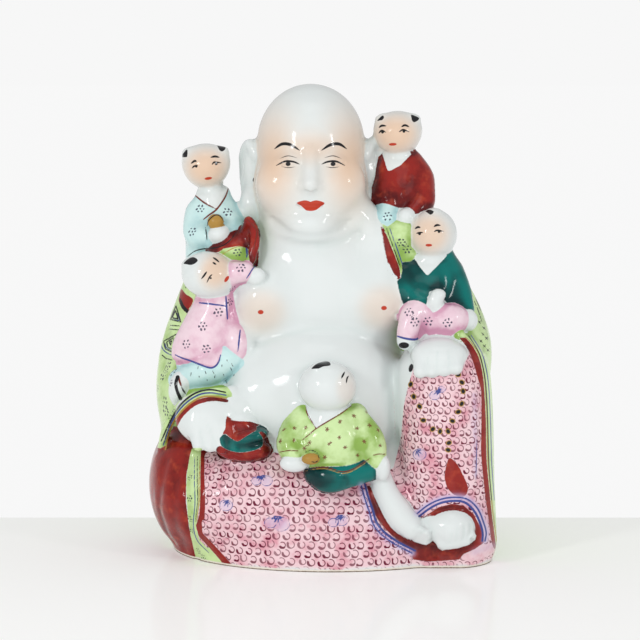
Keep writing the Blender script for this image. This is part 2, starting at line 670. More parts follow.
def relax(mesh, points, rounds):
    """Evens out the spacing of points, each moved halfway to the middle of its neighbours."""
    ends = np.empty(len(mesh.edges) * 2, np.int32)
    mesh.edges.foreach_get("vertices", ends)
    first, second = ends[::2], ends[1::2]
    count = np.bincount(ends, minlength=len(points))[:, None]
    for _ in range(rounds):
        total = np.empty_like(points)
        for axis in range(3):
            from_second = np.bincount(first, points[second, axis], len(points))
            total[:, axis] = from_second + np.bincount(second, points[first, axis], len(points))
        points = (points + total / count) / 2
    return points


def lay(mesh, points):
    """Puts the mesh's points in place, with the foot ground flat."""
    points[:, 2] = np.where(points[:, 2] < FOOT, 0.0, points[:, 2])
    mesh.vertices.foreach_set("co", (points * MM).astype(np.float32).ravel())
    mesh.update()


def refine(mesh, wanted):
    """Splits the faces that have a wanted point into four."""
    work = bmesh.new()
    work.from_mesh(mesh)
    work.verts.ensure_lookup_table()
    faces = {face for i in np.flatnonzero(wanted) for face in work.verts[i].link_faces}
    edges = list({edge for face in faces for edge in face.edges})
    bmesh.ops.subdivide_edges(work, edges=edges, cuts=1, use_grid_fill=True)
    odd = [face for face in work.faces if len(face.verts) > 4]
    bmesh.ops.triangulate(work, faces=odd)
    work.to_mesh(mesh)
    work.free()


def paint_gaps(points, near):
    """For each paint, how far points lie from the forms that carry it."""
    gaps = {}
    for form, chosen in zip(clay, near):
        if form["cut"] or not len(chosen):
            continue
        gap = gaps.setdefault(form["paint"], np.full(len(points), FAR))
        gap[chosen] = np.minimum(gap[chosen], form_gap(form, points[chosen]))
    return gaps


# Painting tools

PIXEL = 0.53  # millimetres of the figure for each pixel of the picture
FILLS = ("leaf", "skirt", "oxblood", "teal", "aqua", "rose")
LINES = ("ink", "russet", "blue", "gold", "coral")
WEIGHTS = ("blush", "pool", "violet")
HIDDEN = 26.0  # a point this far behind the foremost clay does not show
OVERLAP = 0.3  # how far an enamel runs over the edge of its form, so that neighbours of one colour join
EDGE_ON = 0.06  # a face turned less to the eye than this is out of the brush's reach
CELL = 3  # the side, in pixels, of the squares in which the foremost clay is found
CELL_ROW = 1000  # more squares than the picture is wide
BRUSH_REACH = 8  # how many pixels past a brush mark its gap is still worked out
PATCH_REACH = 12
canvas = {}


def start_canvas(mesh):
    """Readies the surface for painting: where each point shows, how it faces and which form it is on."""
    points = corners(mesh)
    normals = np.empty(len(points) * 3, np.float32)
    mesh.vertices.foreach_get("normal", normals)
    normals = normals.reshape(-1, 3).astype(float)
    spots = np.stack(seen_at(points), axis=1)
    depth = -(points @ TOWARD_EYE)
    cells = np.floor(spots / CELL).astype(int) @ np.array([CELL_ROW, 1])
    front = np.full(cells.max() + 1, 9 * FAR)
    np.minimum.at(front, cells, depth)
    turned_away = (EDGE_ON - normals @ TOWARD_EYE) * 8
    covered = (depth - front[cells] - HIDDEN) / 4
    canvas.clear()
    canvas.update(points=points, normals=normals, spots=spots, known={})
    canvas["away"] = np.maximum(turned_away, covered)
    canvas["forms"] = paint_gaps(points, near_forms(points))
    for name in (*FILLS, *LINES, "edge", "still"):
        canvas[name] = np.full(len(points), FAR)
    for name in WEIGHTS:
        canvas[name] = np.zeros(len(points))


def on_forms(paints):
    """How far points lie outside the surface of the forms with these paints, along the surface."""
    known = canvas["known"]
    if tuple(paints) not in known:
        forms = canvas["forms"]
        ours = np.min([forms[name] for name in paints], axis=0)
        rest = [gap for name, gap in forms.items() if name not in paints]
        known[tuple(paints)] = (ours - np.min(rest, axis=0)) / 2
    return known[tuple(paints)].copy()


def fill(colour, gap, chosen=slice(None)):
    """Lays a ground colour where gap is below nothing, and takes the others off there."""
    for name in FILLS:
        layer = canvas[name]
        if name == colour:
            layer[chosen] = np.minimum(layer[chosen], gap)
        else:
            layer[chosen] = np.maximum(layer[chosen], -gap)


def near_spots(places, reach):
    """The points that show within reach pixels of these places, on the side turned to the picture."""
    spots = canvas["spots"]
    low, high = np.min(places, axis=0) - reach, np.max(places, axis=0) + reach
    inside = np.all((spots > low) & (spots < high), axis=1) & (canvas["away"] < 2)
    return np.flatnonzero(inside)


def clip_to(gap, chosen, on):
    """Keeps a painted shape to what shows, and to the forms with these paints."""
    gap = np.maximum(gap, canvas["away"][chosen])
    return np.maximum(gap, on_forms(on)[chosen] - OVERLAP) if on else gap


def closed_spline(places, steps):
    """A smooth path through the places and back to the first."""
    places = [*places[-2:], *places, *places[:2]]
    return spline(places, steps)[2 * steps : -2 * steps - 1]


def outline_gap(spots, outline):
    """How far spots lie outside a closed outline."""
    gap = np.full(len(spots), FAR)
    inside = np.zeros(len(spots), bool)
    for a, b in zip(outline, np.roll(outline, -1, axis=0)):
        run = b - a
        share = np.clip((spots - a) @ run / max(run @ run, 1e-9), 0, 1)
        gap = np.minimum(gap, np.linalg.norm(spots - a - share[:, None] * run, axis=1))
        crosses = (a[1] > spots[:, 1]) != (b[1] > spots[:, 1])
        if a[1] != b[1]:
            meet = a[0] + (spots[:, 1] - a[1]) * run[0] / run[1]
            inside ^= crosses & (spots[:, 0] < meet)
    return np.where(inside, -gap, gap)


def patch(colour, places, on=None, smooth=True):
    """Fills an outline, given in pixels, with a ground colour, a line colour or bare glaze."""
    outline = closed_spline(places, 4) if smooth else np.array(places, float)
    chosen = near_spots(outline, PATCH_REACH)
    gap = outline_gap(canvas["spots"][chosen], outline) * PIXEL
    lay_on(colour, clip_to(gap, chosen, on), chosen)


def lay_on(colour, gap, chosen):
    """Lays a line or ground colour, bare glaze, or "still", which keeps the skirt's printed rings away."""
    if colour in LINES or colour == "still":
        canvas[colour][chosen] = np.minimum(canvas[colour][chosen], gap)
    else:
        fill(colour, gap, chosen)
    canvas["edge"][chosen] = np.minimum(canvas["edge"][chosen], np.abs(gap))


def stroke(colour, places, width, on=None, ends=0.5):
    """One pull of the brush, width pixels wide in the middle and thinner by ends at both ends."""
    path = spline(places, 5)
    along = np.linspace(-1, 1, len(path))
    radii = width / 2 * (1 - ends * np.abs(along) ** 2.5)
    chosen = near_spots(path, BRUSH_REACH)
    gap = path_gap(canvas["spots"][chosen], path, radii) * PIXEL
    lay_on(colour, clip_to(gap, chosen, on), chosen)


def strokes(colour, width, lines, on=None, ends=0.5):
    for places in lines:
        stroke(colour, places, width, on, ends)


def oval_offset(chosen, middle, turn):
    """How far points show from the middle of an oval, in pixels along its own two axes."""
    angle = math.radians(turn)
    spin = np.array([[math.cos(angle), -math.sin(angle)], [math.sin(angle), math.cos(angle)]])
    return (canvas["spots"][chosen] - np.array(middle)) @ spin


def oval_shape(colour, middle, radii, turn=0.0, on=None, ring=None):
    """A filled oval, or with ring its outline, that many pixels wide."""
    chosen = near_spots([middle], max(radii) + BRUSH_REACH)
    gap = oval_gap(oval_offset(chosen, middle, turn), np.array(radii, float))
    if ring:
        gap = np.abs(gap) - ring / 2
    lay_on(colour, clip_to(gap * PIXEL, chosen, on), chosen)


def dots(colour, radius, places, on=None):
    for place in places:
        oval_shape(colour, place, (radius, radius), on=on)


def breathe(weight, tint, chosen, on):
    """Breathes a soft tint on, fading out at the edges of the forms with these paints."""
    if on:
        tint = tint * smooth_step(-on_forms(on)[chosen], -0.3, 0.5)
    canvas[weight][chosen] = np.maximum(canvas[weight][chosen], tint)


def soft_path(weight, places, width, strength, on):
    """A tint along a path, width pixels wide."""
    path = spline(places, 5)
    chosen = near_spots(path, 3 * width)
    far = path_gap(canvas["spots"][chosen], path) * 2 / width
    breathe(weight, strength * np.exp(-(far**2)), chosen, on)


def soft_oval(weight, middle, radii, turn=0.0, strength=1.0, on=None, power=2):
    """A tint that is strongest in the middle. A lower power fades more slowly."""
    chosen = near_spots([middle], 2.4 * max(radii))
    far = np.sum((oval_offset(chosen, middle, turn) / np.array(radii)) ** 2, axis=1)
    breathe(weight, strength * np.exp(-(far**power)), chosen, on)


# What is painted: places are pixels of the picture

GROUNDS = {
    "leaf": ["robe", "jacket_c"],
    "skirt": ["skirt"],
    "oxblood": ["sack", "mouth", "ruffle", "jacket_d"],
    "teal": ["ribbon", "trousers_c", "jacket_e"],
    "aqua": ["jacket_a", "trousers_b", "trousers_d"],
    "rose": ["jacket_b", "trousers_e"],
}

# The children that look out of the picture: the lips and the flush of the cheeks are ovals
FACES = {
    "face_a": dict(
        brows=[
            [(190.9, 163.6), (194.5, 161), (196.5, 161.5)], [(210.6, 157.4), (214.9, 156.4), (219.5, 157.4)]
        ],
        lids=[
            [(191.9, 168.4), (194.5, 165.9), (198.3, 165.4)],
            [(212.1, 164.6), (213.9, 162.3), (216.9, 162.3), (221, 162.8)],
        ],
        irises=[(196.3, 166.4), (216.2, 163.8)],
        lips=((208.3, 178.4), (3.8, 1.4), -8),
        flush=((206, 168), (22, 20), 0, 1.0),
        hair=[
            [(181, 157.4), (186.1, 149.8), (187.6, 151.4), (186.4, 158.4)],
            [(216.2, 144.2), (225.1, 146.7), (224.2, 150.4), (221, 151.3), (218.5, 148.6)],
        ],
    ),
    "face_d": dict(
        brows=[
            [(378.9, 127.7), (381.7, 125.7), (386.3, 125.9)], [(401.4, 126.9), (404.9, 125.2), (409.3, 126.9)]
        ],
        lids=[
            [(378.9, 133.1), (381.7, 130.5), (385.8, 132.3)], [(399.3, 131.8), (403.2, 129.7), (409, 131.8)]
        ],
        irises=[(382.5, 132.2), (403.9, 131.4)],
        lips=((392.8, 144.3), (3.9, 1.4), -2),
        flush=((396, 134), (23, 20), 0, 1.0),
        hair=[
            [(377, 121), (382.2, 115.5), (384, 117.6), (381.2, 120.8)],
            [(410.8, 114.6), (418.5, 117.4), (418.4, 120), (413.9, 122.3), (411.3, 118.8)],
        ],
    ),
    "face_e": dict(
        brows=[
            [(414.9, 228.8), (417.8, 227.1), (420.4, 227.7)], [(433.9, 226.8), (436.7, 225.1), (440.5, 225.4)]
        ],
        lids=[
            [(416.6, 233.4), (419.5, 232.6), (423, 232.6)], [(434.2, 231.7), (437.3, 230.3), (443.6, 231.4)]
        ],
        irises=[(419.6, 233.8), (439, 231.6)],
        lips=((428.8, 245.2), (3.3, 1.4), 0),
        flush=((429, 234), (20, 20), 0, 0.9),
        hair=[[(425.4, 211.4), (429.3, 209.6), (433.6, 211.2), (432.4, 213.8), (429.3, 214.6)]],
    ),
}

# Dot flowers by their size, and the stars of the green jacket
FLOWERS = [
    (0.9, [(238, 253), (400, 243), (408, 250)]),
    (1.15, [(167, 367), (163.4, 376), (172, 372), (166, 400), (164.8, 411)]),
    (0.8, [(157.5, 389), (170, 383), (171.5, 418)]),
    (0.75, [(190.2, 477), (189.4, 498), (190.4, 519), (192.6, 531), (198.5, 551), (203, 557)]),
    (1.0, [(199.4, 209.7), (228.6, 210.7), (191.7, 233.6)]),
    (0.8, [(230, 301.5), (232.5, 288)]),
    (1.0, [(242.5, 266.5), (217.6, 313.7), (202, 325.5), (225.3, 332.5), (186, 344), (208.5, 349)]),
    (1.0, [(386.3, 215.9)]),
    (1.0, [(407.5, 311.3), (414.2, 324.3), (428.6, 322.1), (447.1, 322.4)]),
]
STARS = [
    (283.8, 428), (295.2, 429), (305.8, 427.5), (292.4, 440.2), (281.5, 440.2), (304.4, 448),
    (310.3, 442.7), (327.7, 429), (341, 421.7), (341.5, 436.4), (356.3, 429), (354.2, 414.5),
    (369, 425.8), (328.2, 443.2), (364.6, 440.2), (380.4, 445), (377.7, 429), (357.8, 455.6),
    (336.3, 456), (324, 457), (367, 413), (346, 449),
]


def paint_grounds():
    for colour, paints in GROUNDS.items():
        canvas[colour] = on_forms(paints)
    canvas["gold"] = on_forms(["peach", "ingot"])


def paint_faces():
    """Brows and lids as tapered strokes, irises as dots, lips as a short red oval, and knots of hair."""
    for name, face in FACES.items():
        on = [name]
        strokes("ink", 2.2, face["brows"], on, 0.8)
        strokes("ink", 1.7, face["lids"], on, 0.6)
        dots("ink", 1.4, face["irises"], on)
        oval_shape("coral", *face["lips"], on)
        soft_oval("blush", *face["flush"], on)
        for knot in face["hair"]:
            patch("ink", knot, on)


def paint_child_a():
    neck = [(191.5, 192), (204, 202), (215.8, 209), (224.5, 197), (229.6, 184.5), (226, 176), (192, 180)]
    patch("bare", neck, ["jacket_a", "face_a"], False)
    collar = [
        [(192.4, 193.2), (204, 202.5), (215.4, 208.7)],
        [(229.2, 184.5), (225.6, 196.2), (216.9, 209), (209, 215), (203.3, 219.6)],
    ]
    strokes("russet", 1.8, collar)
    cuff = [(205.5, 227.5), (206.5, 234.5), (207.1, 240.9)]
    stroke("ink", cuff, 1.3, ["jacket_a"])
    round_peach = [(207.2, 226.2), (208.6, 220.6), (214.7, 215.2), (220, 216), (224.2, 222)]
    stroke("ink", round_peach, 1.2)
    hem = [(184.6, 258.5), (188.6, 255.6), (195, 251.1), (203.3, 248.9), (214.1, 247.9), (222.4, 245.7)]
    hem += [(229.4, 240.9), (234.5, 234.5), (238.3, 229.4)]
    stroke("ink", hem, 1.3)


def paint_child_b():
    on = ["face_b"]
    upper_brow = [(213.1, 257.6), (216, 259.4), (219, 262)]
    upper_lid = [(212.8, 262.4), (216, 264.4)]
    lower_brow = [(206.8, 271.6), (204.6, 274.8), (201.4, 278.9)]
    lower_lid = [(212.2, 274.4), (209.6, 277), (206.8, 282.7)]
    iris, lips, cheeks = (210.8, 278.2), (226.7, 279), (216, 271)
    stroke("ink", lower_brow, 2.0, on, 0.7)
    stroke("ink", lower_lid, 1.4, on, 0.6)
    strokes("ink", 1.9, [upper_brow, upper_lid], on, 0.6)
    oval_shape("ink", iris, (1.0, 1.0), on=on)
    oval_shape("coral", lips, (3.6, 1.7), -55, on)
    knot = [(183.4, 263.8), (188.6, 258.5), (194, 257.2), (197.8, 260.4), (194, 264), (189, 265)]
    patch("ink", knot, on)
    soft_oval("blush", cheeks, (16, 19), 25, 0.9, on)
    skirts = [(174.4, 340), (175.5, 354), (182.9, 359), (197.1, 363.4), (211.4, 367.7), (217.6, 365.1)]
    skirts += [(220, 358), (221, 346), (200, 336)]
    patch("rose", skirts, ["jacket_b", "trousers_b"])
    hem = [(175.2, 354.8), (182, 358), (190.9, 360.9), (200, 364.5), (210, 367.8), (215.5, 366), (219, 361)]
    hem += [(220.5, 355)]
    stroke("blue", hem, 1.9, None, 0.4)
    cuff = [(255.6, 265.5), (252.4, 269.3), (249.2, 274.4), (246.3, 278.6)]
    stroke("blue", cuff, 1.4)
    seams = [
        [(199.4, 302.8), (206.5, 303.5), (216, 304.7), (225.6, 306)],
        [(225.9, 296.1), (226.5, 305.1), (227.5, 319.1)],
        [(240.2, 330), (239, 341), (237.6, 352)],
    ]
    strokes("blue", 1.8, seams, None, 0.3)
    dashes = [
        (198, 368), (205, 372), (213, 372.5), (222, 366), (227, 361), (232, 365), (191, 374.5),
        (199, 377), (207, 380.5), (215, 376.5), (223, 374.5), (231, 369.5), (234, 376), (226, 382),
    ]
    for i, (x, y) in enumerate(dashes):
        lean = 1.2 if i % 3 else -0.6
        stroke("ink", [(x - 0.5 * lean, y - 2.2), (x + lean, y + 2)], 0.9, ["trousers_b"])
    ankle = [(170, 380), (178, 374.5), (184, 376), (189, 383), (188, 396), (181, 404), (172, 398)]
    patch("bare", ankle, ["trousers_b"])
    shoe = ["shoe_b", "trousers_b", "robe"]
    sole = [(177.6, 377), (175.8, 383.5), (177, 390.5), (180.4, 398.6)]
    trim = [(178.8, 376.4), (179.6, 381.5), (181.4, 386)]
    toe_cap = [(181.6, 387), (183.4, 390.6), (186.2, 394.4)]
    stroke("ink", sole, 3.2, shoe, -0.2)
    stroke("russet", trim, 2.2, shoe, 0.3)
    stroke("ink", toe_cap, 1.8, shoe)


def paint_child_c():
    on = ["face_c"]
    knot = [(311.4, 368.9), (315.9, 364.2), (323.1, 361.6), (329, 361.8), (330.2, 365.3), (323.1, 366.6)]
    knot += [(317.5, 369)]
    brow = [(344.7, 371.9), (343, 375), (341.4, 378.3)]
    lid = [(348.6, 375.8), (347, 378.6), (346.3, 383.2)]
    cheek = (346, 388)
    patch("ink", knot, on)
    stroke("ink", brow, 1.9, on, 0.7)
    stroke("ink", lid, 1.6, on, 0.7)
    soft_oval("blush", cheek, (10, 16), 0, 0.3, on)
    neck = [(305.8, 406.5), (308, 417), (316.3, 428.7), (330, 420), (351.4, 405.6), (350, 392), (306, 392)]
    patch("bare", neck, ["jacket_c", "face_c"], False)
    piping = [
        [(305.8, 406.5), (306.9, 412.8), (310.8, 419.9), (316.3, 428.7)],
        [(351.4, 405.6), (341.4, 413.3), (328.7, 420.9), (316.9, 428.1), (309, 434.6), (302.4, 440)],
        [(279.2, 452.1), (289.1, 450.6), (298.3, 450.9)],
        [(373.3, 455.1), (378.6, 454.2), (385.4, 454.2)],
        [(304.4, 469.7), (312.1, 467.8), (323.6, 467), (331.2, 468.5), (338.9, 471.2), (345, 471.6)]
        + [(352.6, 469.3), (361.8, 463.6), (370.2, 458.2)],
    ]
    strokes("russet", 1.3, piping, None, 0.3)
    below = [(304.8, 471.2), (312.1, 469.4), (323.6, 468.6), (331.2, 470.1), (338.9, 472.8), (345, 473.2)]
    below += [(352.6, 470.9), (361.8, 465.2), (370.2, 459.8)]
    stroke("gold", below, 1.0)
    over_ingot = [(304.6, 452.6), (310.6, 450.4), (317.4, 453), (319, 458.4)]
    under_ingot = [(311, 461.6), (315.5, 462.2), (318.2, 460.4)]
    stroke("ink", over_ingot, 1.3)
    stroke("ink", under_ingot, 1.2)
    hollows = [
        ((297.5, 444.4), (7, 6), 0.8), ((361, 445.2), (8, 7), 0.8), ((330, 466), (18, 3), 0.8),
        ((288, 436), (11, 17), 0.4), ((374, 432), (11, 17), 0.4),
    ]
    for middle, radii, depth in hollows:
        soft_oval("pool", middle, radii, 0, depth, ["jacket_c"])
    between_knees = (317, 479)
    soft_oval("pool", between_knees, (27, 10), 0, 0.5, ["trousers_c"])


def paint_child_d():
    neck = [(382.2, 153), (387.6, 170.8), (390.4, 170.8), (400.6, 165.2), (414.5, 151)]
    patch("bare", neck, ["jacket_d", "face_d"], False)
    lap = (391, 197)
    soft_oval("pool", lap, (15, 6), 15, 0.6, ["jacket_d"])


def paint_child_e():
    neck = [(412, 254), (419.5, 266.6), (427.3, 276), (436.7, 266.6), (448.5, 254)]
    patch("bare", neck, ["jacket_e", "face_e"], False)
    foot = [(390, 336), (397.4, 337.2), (405.9, 339.6), (415.5, 340.4), (424, 337), (424, 362), (390, 362)]
    patch("bare", foot, ["trousers_e"])
    hem = [(397.4, 336.2), (405.9, 338.6), (415.5, 339.4), (420.2, 336.6)]
    stroke("blue", hem, 2.2, None, 0.3)
    shoe = (403.9, 345.3)
    oval_shape("ink", shoe, (5.2, 3.1))


def paint_collars():
    robe = ["robe", "skin"]
    flap = [(185.7, 252), (194.6, 246), (205.8, 243), (217, 240), (225, 235), (231, 229)]
    flap += [(234, 214), (249, 211), (260, 221), (264, 236), (263, 250)]
    flap += [(258, 268), (250, 264), (247.5, 248.6), (239.3, 245.9), (223.7, 248.6), (217, 253.5)]
    flap += [(205.8, 252.5), (190.2, 257)]
    patch("oxblood", flap, ["robe"], False)
    flap_edge = [(240.9, 217.3), (247.9, 219.9), (255.6, 228.8), (256.8, 233.3), (254.3, 246), (252.4, 258.8)]
    stroke("russet", flap_edge, 1.3, robe)
    flap_line = [(219.2, 256.6), (228.8, 250.4), (238.3, 246.6), (246.5, 247)]
    stroke("gold", flap_line, 0.9, robe)
    flap_corner = [(246.2, 248), (247, 252), (246.6, 257.5)]
    stroke("blue", flap_corner, 2.2, robe)
    right = [(380.2, 229), (383.5, 239), (388.3, 252), (393, 266), (396.5, 280)]
    edge = [
        (364, 222), (370, 240), (382, 266), (390, 292), (403, 290), (399.5, 268), (393.5, 252), (383, 226)
    ]
    patch("oxblood", edge, ["robe"], False)
    beside = [(372, 244), (383, 247), (386.1, 256.7), (393.3, 272.9), (397.5, 277), (397, 292), (380, 292)]
    patch("bare", beside, ["robe"], False)
    for shift, colour in ((6.4, "ink"), (9.6, "blue")):
        stroke(colour, [(x + shift, y - 1) for x, y in right[:4]], 1.1, ["robe"], 0.2)


def paint_left_side():
    """The robe's left side: frets, clusters of dots and the striped hem of the sleeve."""
    scrap = [(180.6, 288.5), (186, 294.2), (193.1, 299.3), (190.5, 307), (188.6, 308.9), (190.5, 311.4)]
    scrap += [(189.6, 314.3), (185.4, 312.1), (180.9, 306.3), (178.3, 298)]
    patch("oxblood", scrap, ["robe"])
    scrap_edge = [(180, 299), (182.5, 306), (186.4, 310.5), (190.2, 314)]
    stroke("ink", scrap_edge, 3.6, ["robe"])
    frets = [
        [(175.9, 305.7), (180.9, 322), (170.5, 319.6), (175.9, 305.7)],
        [(175.4, 310.5), (178.2, 319), (172.2, 317.6), (175.4, 310.5)],
        [(170.5, 325.3), (179.6, 326)], [(169.1, 329), (179.4, 330)],
        [(176.6, 334), (163.6, 341.2), (165.4, 349), (174.2, 353), (176.6, 334)],
        [(174.4, 337.4), (166.6, 342), (167.8, 347), (172.5, 349), (174.4, 337.4)],
        [(171.8, 340.8), (169.3, 342.4), (170.8, 345.2), (171.8, 340.8)],
        [(162, 355), (166, 358.5), (172, 360)],
    ]
    for fret in frets:
        for a, b in zip(fret[:-1], fret[1:]):
            stroke("ink", [a, b], 1.3, ["robe"], 0.2)
    below_frets = [(160.9, 344.6), (163.5, 350), (168.5, 353.8), (174.6, 355.8)]
    stroke("blue", below_frets, 1.3, ["robe"])
    beside_frets = [
        [(177, 313), (179.4, 320.4), (172, 318.6)],
        [(165.2, 343), (166.6, 348), (173.4, 351)],
    ]
    strokes("blue", 1.2, beside_frets, ["robe"])
    hem = [(161.4, 441.6), (170.6, 421.2), (180.8, 404.9), (195.1, 393.7), (209.4, 390.1), (225.7, 392.7)]
    stripes = [(-0.4, 2.0, "ink"), (2.6, 1.7, "blue"), (5.8, 1.8, "gold")]  # how far in, how wide, and colour
    inner = [(165.5, 449.8), (170.6, 428), (182.9, 410), (197.1, 399.2), (209.4, 396.4), (226.7, 398.4)]
    band = [(173.7, 430.4), (180.8, 416.1), (193.1, 404.4), (205.3, 399.9), (215.5, 398.9), (226.7, 400.9)]
    sides = ["robe", "skin", "sack", "skirt"]
    patch("leaf", [*hem, *inner[::-1]], sides)
    stroke("oxblood", band, 4.6, sides, 0.3)
    for inward, width, colour in stripes:
        share = inward / 6.0
        stroke(colour, np.array(hem) * (1 - share) + np.array(inner) * share, width, sides, 0.3)
    above = [
        (216, 383.5), (226, 377), (232, 366), (243, 366), (243, 402), (234, 402), (231.5, 392), (227, 386.4)
    ]
    patch("bare", above, ["robe"], False)
    wrist = [(173.7, 425.3), (166, 446), (168, 456), (186, 458), (190, 453), (184.9, 449.8), (178.8, 438.6)]
    wrist += [(174.2, 430.4)]
    patch("oxblood", wrist, ["robe", "sack", "skirt"])


def paint_sack():
    cloth = ["mouth", "ribbon", "ruffle", "skirt", "skin", "robe"]
    above = [
        (220, 396), (266, 396), (264, 426), (250.8, 421.6), (236, 421), (230, 418), (225.6, 413.6), (220, 414)
    ]
    patch("bare", above, ["mouth", "ribbon"], False)
    lower = [(217.5, 446.5), (219.5, 458), (231, 459.5), (240, 460.3), (255, 458.8), (265.5, 456.5)]
    lower += [(270, 451), (268.5, 439), (261, 431.5), (240, 440)]
    patch("oxblood", lower, cloth)
    tie = [(219.8, 437.5), (222, 446.5), (234, 451.8), (247.5, 451.8), (261, 447.3), (263, 439), (258.5, 432)]
    tie += [(256.5, 428), (249, 431), (240, 437), (228, 436), (223.5, 433)]
    patch("teal", tie, cloth)
    upper = [(226, 415.5), (230, 419.5), (236, 422.4), (250.8, 423), (257, 429), (250.5, 433.6)]
    upper += [(243.5, 438), (237.6, 441.4), (230.6, 438), (225.6, 434), (221, 434.6), (224, 431)]
    upper += [(225.7, 427)]
    patch("oxblood", upper, cloth)
    knot_line = [(261.5, 431), (265.5, 434.5), (268.4, 438.4)]
    stroke("ink", knot_line, 1.2)
    green = [(192, 448), (189.6, 457), (186.9, 473.5), (186.2, 490), (187.7, 514), (190.5, 535)]
    green += [(195, 554.5), (200, 575), (226, 575), (219, 560), (208, 549), (199, 539), (196.5, 526)]
    green += [(199, 508), (202, 493), (202, 448)]
    body = ["robe", "sack", "skirt"]
    patch("leaf", green, [*body, "skin"], False)
    band = [(201, 448), (200.2, 475), (200.2, 494.5), (199.5, 514), (195.8, 526), (198.8, 536.5)]
    band += [(210, 548.5), (221, 561), (228, 574), (236, 570), (228, 560), (213, 543.6)]
    band += [(202.5, 533), (201.8, 521), (204.7, 519), (205.3, 497.5), (204.4, 475), (204.9, 448)]
    patch("oxblood", band, body, False)
    stripes = [
        ("blue", [(194.6, 457.3), (194.4, 480.8), (195, 503), (193.4, 524), (197, 540), (209, 553)]),
        ("ink", [(197.4, 456.3), (197.2, 480.8), (197.6, 500), (195.4, 521.6)]),
        ("gold", [(200, 458), (199, 480.8), (199, 501.2), (196.4, 522)]),
    ]
    for colour, places in stripes:
        stroke(colour, places, 1.0, body, 0.3)


def paint_skirt():
    """The skirt's ground to the foot, the sack's beside it and the robe's green past the right border."""
    sack = [(150, 447), (166, 449), (172, 446), (192, 457), (190, 460), (186.4, 473.7), (185.9, 501.2)]
    sack += [(189, 526.7), (197.1, 558.4), (204, 580), (120, 580), (120, 447)]
    patch("oxblood", sack, ["robe", "skirt", "sack"], False)
    lap = [(204, 455), (200, 518), (212, 546), (229, 564), (226, 600), (540, 600), (540, 540), (497, 540)]
    lap += [(494.6, 500), (488.5, 450), (484, 400), (478, 365), (458, 345), (330, 420)]
    patch("skirt", lap, ["robe", "skirt"], False)
    depth, width = canvas["points"][:, 1], canvas["points"][:, 0]
    beyond = np.maximum(-42 - depth, 70 - width)
    fill("leaf", np.maximum(beyond, on_forms(["skirt"]) - OVERLAP))
    border = [(463.5, 336.5), (471.1, 343.8), (478.8, 357.5), (483, 375.9), (484.9, 398.9), (486, 421.8)]
    border += [
        (486.2, 444), (487, 465), (489.5, 490), (492, 515), (495.3, 539.5), (497, 562), (560, 562), (560, 330)
    ]
    patch("leaf", border, ["skirt", "robe"], False)
    fold = [(380, 340), (404, 340), (416, 345), (414.5, 364), (410.5, 378), (407, 391), (403.6, 406.6)]
    fold += [(401.4, 435), (397, 454.7), (393.5, 468), (380, 475), (376, 420)]
    patch("bare", fold, ["skirt", "robe"], False)
    wrist = [(417, 326), (450, 326), (454, 334), (452, 340), (417, 344)]
    patch("bare", wrist, ["robe"], False)


